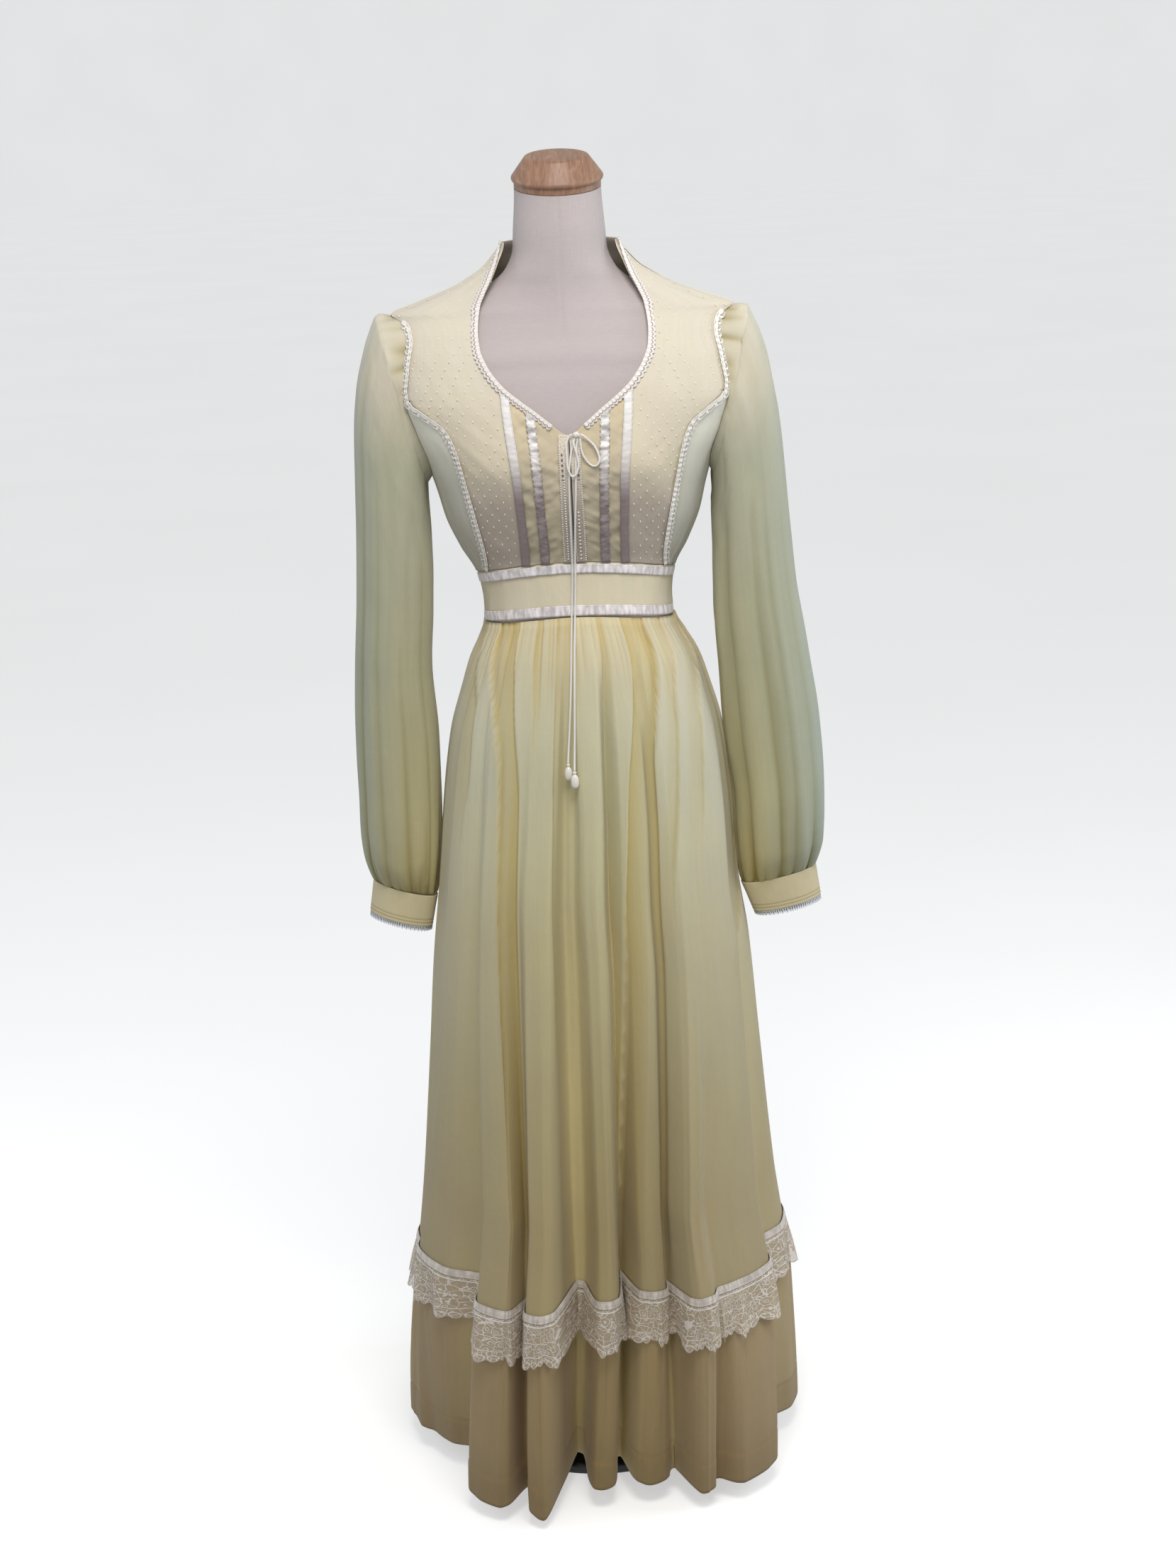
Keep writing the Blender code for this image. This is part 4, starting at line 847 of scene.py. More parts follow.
def makeTie():
    for label in ("right", "left"):
        route = smoothRoute(tie["strands"][label], 120)
        strand = cordPiece("strand_" + label, route)
        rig.replaces(strand, "cord_" + label)
        tip = spunPiece("tip_" + label, tie["tip"], 40, paints["pearl"])
        for vertex in tip.data.vertices:  # flutes of the drop below the bead
            deep = float(ease(-0.0045, -0.008, vertex.co.z) * ease(-0.0198, -0.0175, vertex.co.z))
            slim = 1 - tie["flute"] * deep * (1 - abs(math.cos(4 * math.atan2(vertex.co.y, vertex.co.x))))
            vertex.co.xy = vertex.co.xy * slim
        tip.data.transform(Matrix.Translation(Vector(tie["strands"][label][-1]) - Vector((0, 0, 0.0002))))
        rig.replaces(tip, "cord_tip_" + label)
        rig.cord(strand, exit=tie["strands"][label][0], length=routeLength(route), diameter=2 * tie["radius"],
                far_end="fitting", stiffness="limp", lay="hanging", with_pieces=[tip])
        loopRoute = smoothRoute(tie["loops"][label], 90)
        loop = cordPiece("loop_" + label, loopRoute)
        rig.replaces(loop, "bow_loop_" + label)
        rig.cord(loop, exit=tie["loops"][label][0], length=routeLength(loopRoute), diameter=2 * tie["radius"],
                far_end="object", stiffness="limp", lay="hanging")
        print("tie", label, "strand", round(routeLength(route), 4), "loop", round(routeLength(loopRoute), 4))

    bm = bmesh.new()
    bmesh.ops.create_uvsphere(bm, u_segments=40, v_segments=24, radius=1.0)
    for vertex in bm.verts:  # two wraps of cord show round the knot
        wraps = abs(math.sin(3.1 * vertex.co.x + 1.5 * vertex.co.z))
        vertex.co *= 0.86 + 0.14 * wraps ** 0.6
    bmesh.ops.scale(bm, verts=bm.verts, vec=tie["knotSize"])
    bm.transform(Matrix.Translation(tie["knot"]))
    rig.replaces(finishMesh("knot", bm, paints["cord"], 180), "bow_knot")


makeTie()


# the dress form

form = {
    "inset": 0.004, "bottom": 0.76, "neckLow": 1.44, "neckTop": 1.487, "tilt": math.radians(11.0),
    "waist": (1.0095, 1.065), "shoulders": (1.284, 1.322), "seam": 0.0006, "seamWide": 0.0012,
    "cap": [(0.0, 0.0335), (0.03, 0.0334), (0.0345, 0.033), (0.0353, 0.0326), (0.036, 0.0318),
            (0.05, 0.0127), (0.0506, 0.0116), (0.0508, 0.0105), (0.0506, 0.0092), (0.05, 0.008),
            (0.049, 0.007), (0.048, 0.0062), (0.048, 0.0006), (0.0475, 0.0001), (0.0, 0.0)],
    "base": [(0.0, 0.016), (0.14, 0.0146), (0.1445, 0.0137), (0.1475, 0.0122), (0.1494, 0.0104), (0.15, 0.0085),
             (0.15, 0.003), (0.149, 0.0009), (0.1475, 0.0), (0.0, 0.0)],
    "pole": [(0.0, 0.7597), (0.0135, 0.7597), (0.014, 0.759), (0.014, 0.017), (0.0135, 0.0163), (0.0, 0.0163)],
    "collar": [(0.0141, 0.0162), (0.0225, 0.0162), (0.023, 0.0168), (0.023, 0.024), (0.0222, 0.0252),
               (0.016, 0.0262), (0.0141, 0.0262), (0.0141, 0.0162)],
}


def formPoints(u, v):
    angle = math.tau * u - math.pi / 2
    height = mix(form["bottom"], form["neckTop"], v)
    x, y = np.zeros_like(height), np.zeros_like(height)
    low, high = form["waist"]
    inset = form["inset"] * (1 - 0.85 * ease(low - 0.012, low, height) * ease(high + 0.012, high, height))
    for table, share in ((bareLow, 1.0), (body, height >= 1.0), (bareHigh, ease(*form["shoulders"], height))):
        sx, sy = section(table, angle, height, inset)
        if table is body:
            sy = sy - bustRise(sx, sy, height)
        x, y = mix(x, sx, share), mix(y, sy, share)
    tilt = np.clip((height - form["neckLow"]) / (form["neckTop"] - form["neckLow"]), 0, 1)
    leaning = leanAt(height) * np.clip((height - form["bottom"]) / 0.22, 0, 1)
    seam = np.exp(-(x / form["seamWide"]) ** 2) + np.exp(-(y / form["seamWide"]) ** 2)
    shrink = 1 - form["seam"] * seam / np.maximum(0.02, np.hypot(x, y))
    return join(x * shrink + leaning, y * shrink, height + waistLift(angle, height) + tilt * y * math.tan(form["tilt"]))


def makeForm():
    bm = gridMesh(144, 240, formPoints, closed=True)
    rims = [edge for edge in bm.edges if edge.is_boundary]
    bmesh.ops.holes_fill(bm, edges=rims, sides=0)
    bmesh.ops.recalc_face_normals(bm, faces=bm.faces)
    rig.replaces(finishMesh("torso", bm, paints["linen"], 50, (0.9, 0.75)), "form_torso")
    place = (Matrix.Translation((float(leanAt(form["neckTop"])), 0.0, form["neckTop"] + 0.0004))
             @ Matrix.Rotation(form["tilt"], 4, "X"))
    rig.replaces(spunPiece("neckCap", form["cap"], 96, paints["wood"], place), "form_neck_cap")
    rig.replaces(spunPiece("pole", form["pole"], 64, paints["steel"]), "form_pole")
    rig.replaces(spunPiece("base", form["base"], 128, paints["black"]), "form_base")
    spunPiece("poleCollar", form["collar"], 64, paints["black"])
    print("dress form made")


makeForm()


# the bodice

seams = {
    "neckline": [  # step, half width, height, from the middle of the front to the collar's top
        (0.0, 0.002, 1.2275), (1.0, 0.019, 1.239), (2.0, 0.036, 1.2525), (3.0, 0.052, 1.2645),
        (4.0, 0.069, 1.279), (5.0, 0.084, 1.299), (6.0, 0.0915, 1.317), (7.0, 0.093, 1.335),
        (8.0, 0.09, 1.36), (9.0, 0.084, 1.374), (10.0, 0.076, 1.389), (11.0, 0.069, 1.405),
        (12.0, 0.061, 1.4285)],
    "princess": [  # height and half width
        (1.0662, 0.1), (1.133, 0.1095), (1.152, 0.113), (1.182, 0.119), (1.2, 0.123),
        (1.232, 0.135), (1.252, 0.16), (1.264, 0.171)],
    "ribbons": [  # height, half widths of the outer and the inner ribbon
        (1.0662, 0.0545, 0.033), (1.17, 0.058, 0.036), (1.28, 0.067, 0.0415)],
    "bottom": 1.0662, "shoulder": 1.381, "collarTop": 1.4285, "holeLow": 1.1751, "holeHigh": 1.3529,
    "neckFrom": 1.2775, "holeFrom": 1.265,
    "out": 0.0011, "trimOut": 0.0029, "neckLaceOut": 0.0042, "sunk": 0.0009, "sunkWide": 0.0022,
}
bodice = {  # flat size as cut, then columns and rows of the mesh
    "front": ((0.085, 0.42), 84, 210), "side": ((0.075, 0.2), 60, 130), "back": ((0.17, 0.33), 90, 150),
    "inset": ((0.057, 0.19), 70, 200), "collar": ((0.27, 0.055), 140, 36),
}


def neckHeight(x):
    return readTable([(row[1], row[2]) for row in seams["neckline"] if row[2] < 1.33], x, 1)


def ribbonAngle(column, height):
    return angleOfX(readTable(seams["ribbons"], height, column), height)


def princessAngle(height):
    low = angleOfX(readTable(seams["princess"], height, 1), height)
    high = np.where(height < seams["holeHigh"], angleOfHole(height, True), math.pi / 2)
    return np.where(height > seams["holeFrom"], high, low)


def frontInnerAngle(height):
    neck = readTable([(row[2], row[1]) for row in seams["neckline"]], height, 1)
    return np.where(height > seams["neckFrom"], angleOfX(neck, height), ribbonAngle(1, height))


def sideAngle(height):
    return np.where(height < seams["holeLow"], math.pi / 2, angleOfHole(height, True))


def backSideAngle(height):
    inHole = (height > seams["holeLow"]) & (height < seams["holeHigh"])
    return np.where(inHole, angleOfHole(height, False), math.pi / 2)


def panel(name, cut, top, inner, outer, paint, side, crease, nodes):
    # a panel between two edges, sunk at its seams, with creases from crease(angle, height)
    size, columns, rows = bodice[cut]

    def place(u, v):
        height = mix(seams["bottom"], top, v)
        angle = mix(inner(height), outer(height), u)
        seam = np.exp(-np.minimum(u, 1 - u) * size[0] / seams["sunkWide"])
        out = seams["out"] - seams["sunk"] * seam + crease(angle, height) * (1 - seam)
        return onBody(side * angle, height, out)

    clothPiece(name, gridMesh(columns, rows, place, flip=side < 0), paint, size, nodes=nodes, held="stretched")


def makeBodice():
    for side, label in ((1, "right"), (-1, "left")):
        seed = 10 if side > 0 else 30

        def frontCrease(angle, height):
            x = angle * 0.1
            return (0.0007 * ripples(x + height * 0.25, height, 0.02, 0.055, seed)
                    + 0.0004 * ripples(x - height * 0.4, height, 0.009, 0.022, seed + 1))

        def sideCrease(angle, height):
            gather = 0.0005 * ease(1.12, seams["bottom"], height) * np.cos(angle * 70)
            return 0.0008 * ripples(angle * 0.13, height, 0.014, 0.06, seed + 2) + gather

        def backCrease(angle, height):
            return 0.0008 * ripples(angle * 0.1, height, 0.022, 0.07, seed + 3)

        for name, node, cut, top, inner, outer, paint, crease in (
                ("bodiceFront_", "bodice_front_", "front", seams["collarTop"], frontInnerAngle, princessAngle,
                 "bodice", frontCrease),
                ("sideFront_", "side_front_", "side", hole["mid"], princessAngle, sideAngle, "side", sideCrease),
                ("bodiceBack_", "bodice_back_", "back", seams["shoulder"], backSideAngle,
                 lambda height: math.pi + 0 * height, "plain", backCrease)):
            panel(name + label, cut, top, inner, outer, paints[paint], side, crease, [node + label])

        def insetPlace(u, v):
            top = np.full_like(u, 1.25)
            for attempt in range(8):  # the neckline's height where this column meets it
                top = neckHeight(mix(0.002, readTable(seams["ribbons"], top, 1), u))
            height = mix(seams["bottom"], top, v)
            x = mix(0.0008, readTable(seams["ribbons"], height, 1), u)
            pucker = (0.0007 * ripples(x, height + 0.45 * x, 0.012, 0.006, seed + 4)
                      + 0.0012 * ripples(x, height - 0.55 * x, 0.016, 0.011, seed + 5))
            calm = np.exp(-np.minimum(u, 1 - u) * 0.055 / 0.002)
            out = seams["out"] + pucker * (1 - 0.8 * calm) - 0.0004 * calm
            return onBody(side * angleOfX(x, height), height, out)

        size, columns, rows = bodice["inset"]
        clothPiece("inset_" + label + "_panel", gridMesh(columns, rows, insetPlace, flip=side < 0), paints["inset"],
                   size, nodes=["inset_" + label], held="stretched")

    def collarPlace(u, v):
        angle = math.pi * (0.5 + u)
        out = seams["out"] + 0.0004 * ripples(angle * 0.07, v, 0.02, 0.3, 51)
        return onBody(angle, mix(seams["shoulder"] + 0.0004, seams["collarTop"], v), out)

    size, columns, rows = bodice["collar"]
    clothPiece("collarBack", gridMesh(columns, rows, collarPlace), paints["bodice"], size, nodes=["collar_back"],
               held="stretched")
    print("bodice made")


dots = {"apart": 0.015, "rowApart": 0.52, "low": 0.006, "radius": 0.0008, "flat": 0.6, "tall": 2.1, "rows": 60,
        "collarRows": 3, "collarCount": 17, "collarLow": 1.389, "collarApart": 0.0125}


def makeDots():  # small raised dots in staggered rows on the fronts and the collar
    beads, out, apart = [], seams["out"] + 0.0004, dots["apart"]
    for side in (1, -1):
        for row in range(dots["rows"]):
            height = seams["bottom"] + dots["low"] + row * apart * dots["rowApart"]
            if height > seams["collarTop"] - 0.004:
                break
            inner, outer = float(frontInnerAngle(height)), float(princessAngle(height))
            around = float(np.linalg.norm(stepsOnBody(0.5 * (inner + outer), height)[0]))
            angle = inner + (0.01 + (0.0 if row % 2 else 0.5) * apart) / around
            while angle < outer - 0.007 / around:
                beads.append(beadOnBody(side * angle, height, out))
                angle += apart / around
    for row in range(dots["collarRows"]):
        for k in range(dots["collarCount"]):
            angle = math.pi / 2 + (k + 0.5 * (row % 2) + 0.5) * math.pi / (dots["collarCount"] + 0.5)
            beads.append(beadOnBody(angle, dots["collarLow"] + row * dots["collarApart"], out))
    beadRow("swissDots", beads, dots["radius"], dots["flat"], paints["dot"], dots["tall"])
    print("dots made:", len(beads))


makeBodice()
makeDots()


# bands along lines on the body: ribbons, tapes and laces

def bodyBand(name, line, width, columns, rows, paint, side, out, length, nodes, edge=None):
    # line(step) gives angle and height; edge(across, along) adds to the place across, in metres
    def place(u, v):
        angle, height = line(v)
        later, above = line(np.minimum(1.0, v + 0.004))
        sooner, below = line(np.maximum(0.0, v - 0.004))
        around, up = stepsOnBody(angle, height)
        around, up = np.linalg.norm(around, axis=-1), np.linalg.norm(up, axis=-1)
        runX, runY = (later - sooner) * around, (above - below) * up
        run = np.hypot(runX, runY)
        shift = mix(width[0], width[1], u)
        if edge is not None:
            shift = shift + edge(u, v)
        lift = out(u, v) if callable(out) else out
        return onBody(side * (angle + shift * runY / run / around), height - shift * runX / run / up, lift)

    clothPiece(name, gridMesh(columns, rows, place, flip=side < 0), paint, (width[1] - width[0], length), 0.0005, nodes,
               "stretched")


def scalloped(size, length, depth):
    def edge(u, v):
        return np.clip((u - 0.55) / 0.45, 0, 1) * depth * (np.abs(np.sin(math.pi * round(length / size) * v)) - 0.6)
    return edge


def makeTrims():
    long = trims["long"]
    for side, label in ((1, "right"), (-1, "left")):
        for kind, column, pucker, paint in (("outer", 1, 0.0002, "ribbon"), ("inner", 2, 0.0008, "puckered")):
            top = float(neckHeight(seams["ribbons"][-1][column])) - 0.0055

            def line(step, column=column, top=top):
                height = mix(seams["bottom"] + 0.0008, top, step)
                return ribbonAngle(column, height), height

            def lift(u, v, pucker=pucker, seed=60 + column + 7 * side):
                puckered = pucker * ripples(u * trims["ribbon"], v * long["ribbon"], 0.012, 0.0052, seed)
                return seams["trimOut"] + 0.0003 * np.sin(math.pi * u) + puckered

            half = trims["ribbon"] / 2
            bodyBand("ribbon" + kind.capitalize() + "_" + label, line, (-half, half), 12, 150, paints[paint], side,
                     lift, long["ribbon"], ["ribbon_" + kind + "_" + label],
                     edge=lambda u, v, p=pucker: 0.8 * p * (2 * u - 1) * np.sin(v * 190))

        def tape(step):
            height = mix(seams["bottom"] + 0.0012, 1.228, step)
            return angleOfX((trims["tapeInner"] + trims["tapeOuter"]) / 2, height), height

        half = (trims["tapeOuter"] - trims["tapeInner"]) / 2
        bodyBand("placketTape_" + label + "_band", tape, (-half, half), 16, 150, paints["tape"], side,
                 lambda u, v: seams["trimOut"] + 0.0002 * np.cos(6 * math.pi * u), long["tape"],
                 ["placket_tape_" + label])

        def neck(step):
            half, height = (readTable(seams["neckline"], mix(0.075, 0.995, step) * 12.0, k) for k in (1, 2))
            return angleOfX(half, height), height

        bodyBand("neckLace_" + label, neck, (-0.0008, trims["neckLace"]), 10, 460, paints["neckEdge"], side,
                 lambda u, v: seams["neckLaceOut"] - 0.0012 * ease(0.5, 1.0, u) + 0.0003 * np.sin(v * 300),
                 long["neckLace"], ["neck_lace_" + label], edge=scalloped(trims["scallop"], long["neckLace"], 0.002))

        def yoke(step):
            height = mix(seams["bottom"] + 0.0012, 1.346, step)
            turn = np.clip((height - 1.25) / 0.026, 0, 1)
            seam = angleOfX(readTable(seams["princess"], np.minimum(height, hole["mid"]), 1), height)
            atHole = np.where(height > hole["mid"] - hole["halfHeight"], angleOfHole(height, True), seam)
            around = np.linalg.norm(stepsOnBody(seam, height)[0], axis=-1)
            return mix(seam, atHole, turn) - mix(0.0006, 0.001, turn) / around, height

        half = trims["yokeLace"] / 2
        bodyBand("yokeLace_" + label, yoke, (-half, half), 10, 460, paints["yokeEdge"], side,
                 lambda u, v: seams["trimOut"] + 0.0008 * ease(0.55, 0.75, v) + 0.0003 * np.sin(v * 300),
                 long["yokeLace"], ["yoke_lace_" + label],
                 edge=scalloped(trims["yokeScallop"], long["yokeLace"], 0.0024))

        for name, x, low, high, apart, radius, paint in (trims["pearls"][label], trims["picots"]):
            beads = [beadOnBody(side * float(angleOfX(x, height)), height, seams["trimOut"] + 0.0006)
                     for height in np.arange(low, high, apart)]
            beadRow(name + "_" + label, beads, radius, 0.8, paints[paint])

    def ribbonBand(low, high):
        def place(u, v):
            angle = (u - 0.5) * (14 / 16) * math.pi
            lift = 0.0002 * np.sin(math.pi * v) + 0.0003 * ripples(angle * 0.1, v * 0.01, 0.012, 0.01, 71)
            return onBody(angle, mix(low, high, v), seams["trimOut"] + lift)
        return place

    for name, low, high in trims["waist"]:
        clothPiece("waistRibbon_" + name, gridMesh(260, 8, ribbonBand(low, high)), paints["waistRibbon"],
                   (long["waistRibbon"], trims["waistRibbon"]), 0.0005, ["ribbon_waist_" + name], "stretched")
    print("trims made")


midriff = {"low": 1.009, "high": 1.0656, "tall": 0.057, "sunk": 0.0006, "sunkWide": 0.003,
           "halves": (("front", -math.pi / 2, 0.305), ("back", math.pi / 2, 0.3))}  # first angle, and width as cut


def makeMidriff():
    def place(first):
        def points(u, v):
            angle = first + u * math.pi
            height = mix(midriff["low"], midriff["high"], v)
            crease = (0.0006 * ripples(angle * 0.1, height, 0.009, 0.09, 81)
                      + 0.0005 * ripples(angle * 0.1, height, 0.02, 0.05, 82))
            seam = np.exp(-np.minimum(v, 1 - v) * midriff["tall"] / midriff["sunkWide"])
            return onBody(angle, height, seams["out"] + crease - midriff["sunk"] * seam)
        return points

    for label, first, wide in midriff["halves"]:
        clothPiece("midriff_" + label + "_band", gridMesh(180, 28, place(first)), paints["plain"],
                   (wide, midriff["tall"]), nodes=["midriff_" + label], held="stretched")
    print("midriff made")


makeTrims()
makeMidriff()


# sleeves, cuffs and cuff lace

sleeves = {
    "rings": [  # step, right outer x, right inner x, left outer x, left inner x, outer and inner height, half depth
        (1.0, 0.205, 0.164, 0.203, 0.158, 1.35, 1.166, 0.0565),
        (2.0, 0.22, 0.1645, 0.217, 0.158, 1.32, 1.15, 0.056),
        (3.0, 0.2325, 0.1635, 0.2305, 0.1575, 1.27, 1.133, 0.0545),
        (4.0, 0.24, 0.163, 0.2365, 0.157, 1.21, 1.112, 0.052),
        (5.0, 0.2455, 0.1625, 0.2395, 0.157, 1.13, 1.075, 0.049),
        (6.0, 0.254, 0.162, 0.245, 0.16, 1.04, 1.015, 0.047),
        (7.0, 0.266, 0.165, 0.2515, 0.164, 0.96, 0.95, 0.048),
        (8.0, 0.277, 0.169, 0.2552, 0.1605, 0.88, 0.875, 0.05),
        (9.0, 0.2815, 0.1778, 0.2555, 0.1618, 0.8, 0.795, 0.05),
        (10.0, 0.28, 0.1822, 0.253, 0.1668, 0.735, 0.72, 0.042),
        (11.0, 0.2725, 0.1872, 0.244, 0.1722, 0.702, 0.683, 0.025)],
    "cuffs": {  # outer and inner x, outer and inner height, at the top and at the lower edge
        "right": ((0.2725, 0.1872, 0.701, 0.6815), (0.2775, 0.2, 0.6655, 0.6485)),
        "left": ((0.244, 0.1722, 0.701, 0.679), (0.2495, 0.1795, 0.665, 0.644))},
    "cut": (0.3, 0.56), "cuffWide": 0.19,
    "cuffDepth": 0.025, "cuffHigh": 0.036, "stitches": (0.0285, 0.0322), "laceDrop": 0.0062,
    "head": {"count": 22, "around": math.tau, "deep": (0.0026, 0.0064), "long": (0.02, 0.09),
             "wide": (0.05, 0.13), "slant": 0.8},
    "wrist": {"count": 26, "around": math.tau, "deep": (0.0016, 0.0042), "long": (0.015, 0.08),
              "wide": (0.05, 0.12), "slant": 1.2},
    "panels": {"count": 11, "around": math.tau, "deep": (0.0024, 0.005), "long": (0.18, 0.5),
               "wide": (0.05, 0.13), "slant": 0.25},
}


def ovalPoint(side, turn, outerX, innerX, outerZ, innerZ, depth, full=1.0):  # on a slanting oval round an arm
    swing = full * np.sin(turn)
    return join(side * ((outerX + innerX) / 2 + (outerX - innerX) / 2 * swing), -depth * full * np.cos(turn),
                (outerZ + innerZ) / 2 + (outerZ - innerZ) / 2 * swing)


def sleeveRing(row, turn, side):
    outerX, innerX, outerZ, innerZ, depth = (readTable(sleeves["rings"], row, k) for k in (
        1 if side > 0 else 3, 2 if side > 0 else 4, 5, 6, 7))
    nearCuff = np.maximum(0, 1 - np.abs(row - 10.6) / 2.2)
    nearCap = np.maximum(0, 1 - np.abs(row - 1.2) / 1.8) * np.maximum(0, np.sin(turn))
    away = 1 - np.maximum(0, -np.sin(turn))
    big = 0.07 * away * np.sin(math.pi * np.minimum(1, row / 11))
    full = 1 + (0.022 * nearCuff + 0.014 * nearCap) * np.cos(12 * turn) + big * (np.cos(4 * turn + 0.6) - 1) * 0.5
    return ovalPoint(side, turn, outerX, innerX, outerZ, innerZ, depth, full)


def holePoint(turn, side):
    height = hole["mid"] + hole["halfHeight"] * np.sin(turn)
    front = angleOfHole(height, True)
    angle = np.where(np.cos(turn) > 0, front, angleOfHole(height, False))
    return onBody(side * angle, height, 0.0009)


def sleeveFolds(turn, row, seed):  # long soft folds, and gathers at the head and the cuff
    swing = turn / math.tau * 0.3
    fromHead, fromCuff = row * 0.052, (11.0 - row) * 0.045
    long = (ripples(swing, row * 0.05, 0.024, 0.42, seed)
            + 0.5 * np.abs(ripples(swing, row * 0.05, 0.017, 0.3, seed + 1)))
    creases = ripples(swing + row * 0.006, row * 0.05, 0.012, 0.03, seed + 2)
    calm = np.minimum(1.0, (math.pi - np.abs(turn)) / 0.15)
    upper = ease(-0.5, 0.3, np.cos(turn))
    head = gathers(turn, fromHead, sleeves["head"], seed + 3) * upper
    wrist = gathers(turn, fromCuff, sleeves["wrist"], seed + 4) + gathers(turn, fromCuff, sleeves["panels"], seed + 5)
    puff = (0.0022 * upper * ease(0.0, 0.012, fromHead) * ease(0.1, 0.02, fromHead)
            + 0.002 * ease(0.0, 0.01, fromCuff) * ease(0.2, 0.02, fromCuff))
    folds = (0.0034 * long + 0.0006 * creases) * ease(0.0, 1.6, row) * ease(11.0, 9.6, row) * calm
    pinned = mix(0.2, 1.0, ease(0, 0.35, row)) * mix(0.35, 1.0, ease(11.0, 10.75, row))
    # painted shade: depth marks the gathers and the troughs of the long folds, where the colour is darkened
    depth = np.clip((head + wrist) / 0.005 + np.clip(-folds, 0, 1) / 0.018, 0, 1)
    return (folds + puff - head - wrist) * pinned, depth


def makeSleeves():
    for side, label in ((1, "right"), (-1, "left")):
        def skin(turn, row):  # from the armhole at row 0 to the first ring at row 1, and on to the cuff
            ring = sleeveRing(np.maximum(row, 1.0), turn, side)
            return mix(ring, holePoint(turn, side), (1 - np.clip(row, 0, 1))[..., None])

        def place(u, v):
            turn, row = -math.tau * u, 11.0 * v ** 0.92
            here = skin(turn, row)
            around = skin(turn + 0.02, row) - skin(turn - 0.02, row)
            along = skin(turn, np.minimum(row + 0.05, 11.0)) - skin(turn, np.maximum(row - 0.05, 0.0))
            fromOuter = np.mod(turn + math.pi / 2, math.tau) - math.pi
            push, depth = sleeveFolds(fromOuter, row, 90 if side > 0 else 110)
            return here + unit(np.cross(along, around) * side) * push[..., None], depth

        bm = gridMesh(230, 180, place, closed=True, flip=side < 0)
        clothPiece("sleeve_" + label + "_cloth", bm, paints["sleeve"], sleeves["cut"], 0.0005, ["sleeve_" + label],
                   on="bodiceFront_" + label)

        top, bottom = sleeves["cuffs"][label]

        def cuffPoint(turn, along, grow):
            outerX, innerX, outerZ, innerZ = (mix(top[k], bottom[k], along) for k in range(4))
            return ovalPoint(side, turn, outerX + grow, innerX - grow, outerZ, innerZ, sleeves["cuffDepth"] + grow)

        def cuffPlace(u, v):
            turn = -math.tau * u
            down = v * sleeves["cuffHigh"]
            crease = 0.0005 * ripples(0.03 * np.sin(turn) + 0.4 * down, 0.03 * np.cos(turn), 0.012, 0.012, 130)
            rim = np.exp((down - sleeves["cuffHigh"]) / 0.0015) + np.exp(-down / 0.0015)
            stitch = sum(np.exp(-((down - row) / 0.0007) ** 2) for row in sleeves["stitches"])
            # painted shade: the stitch grooves are darkened through the fold depth
            return cuffPoint(turn, mix(-0.06, 1.0, v), 0.001 + crease - 0.0003 * rim - 0.0005 * stitch), 0.7 * stitch

        def lacePlace(u, v):
            turn = -math.tau * u
            drop = sleeves["laceDrop"] * (0.78 + 0.22 * np.abs(np.sin(45 * math.pi * u)) ** 0.7)
            wave = 0.0004 + 0.0003 * v + 0.0003 * np.sin(90 * u * math.pi) * v
            return cuffPoint(turn, 1.0 + (mix(-0.0018, drop, v)) / (top[2] - bottom[2]), wave)

        clothPiece("cuff_" + label + "_band", gridMesh(180, 40, cuffPlace, closed=True, flip=side < 0), paints["cuff"],
                   (sleeves["cuffWide"], sleeves["cuffHigh"]), 0.0008, ["cuff_" + label], "stretched",
                   "sleeve_" + label + "_cloth")
        clothPiece("cuffLace_" + label, gridMesh(352, 10, lacePlace, closed=True, flip=side < 0), paints["cuffEdge"],
                   (sleeves["cuffWide"], trims["cuffLace"]), 0.0005, ["cuff_lace_" + label], "gathered",
                   "cuff_" + label + "_band")
    print("sleeves made")


makeSleeves()


# the skirt, its lace frill and its flounce

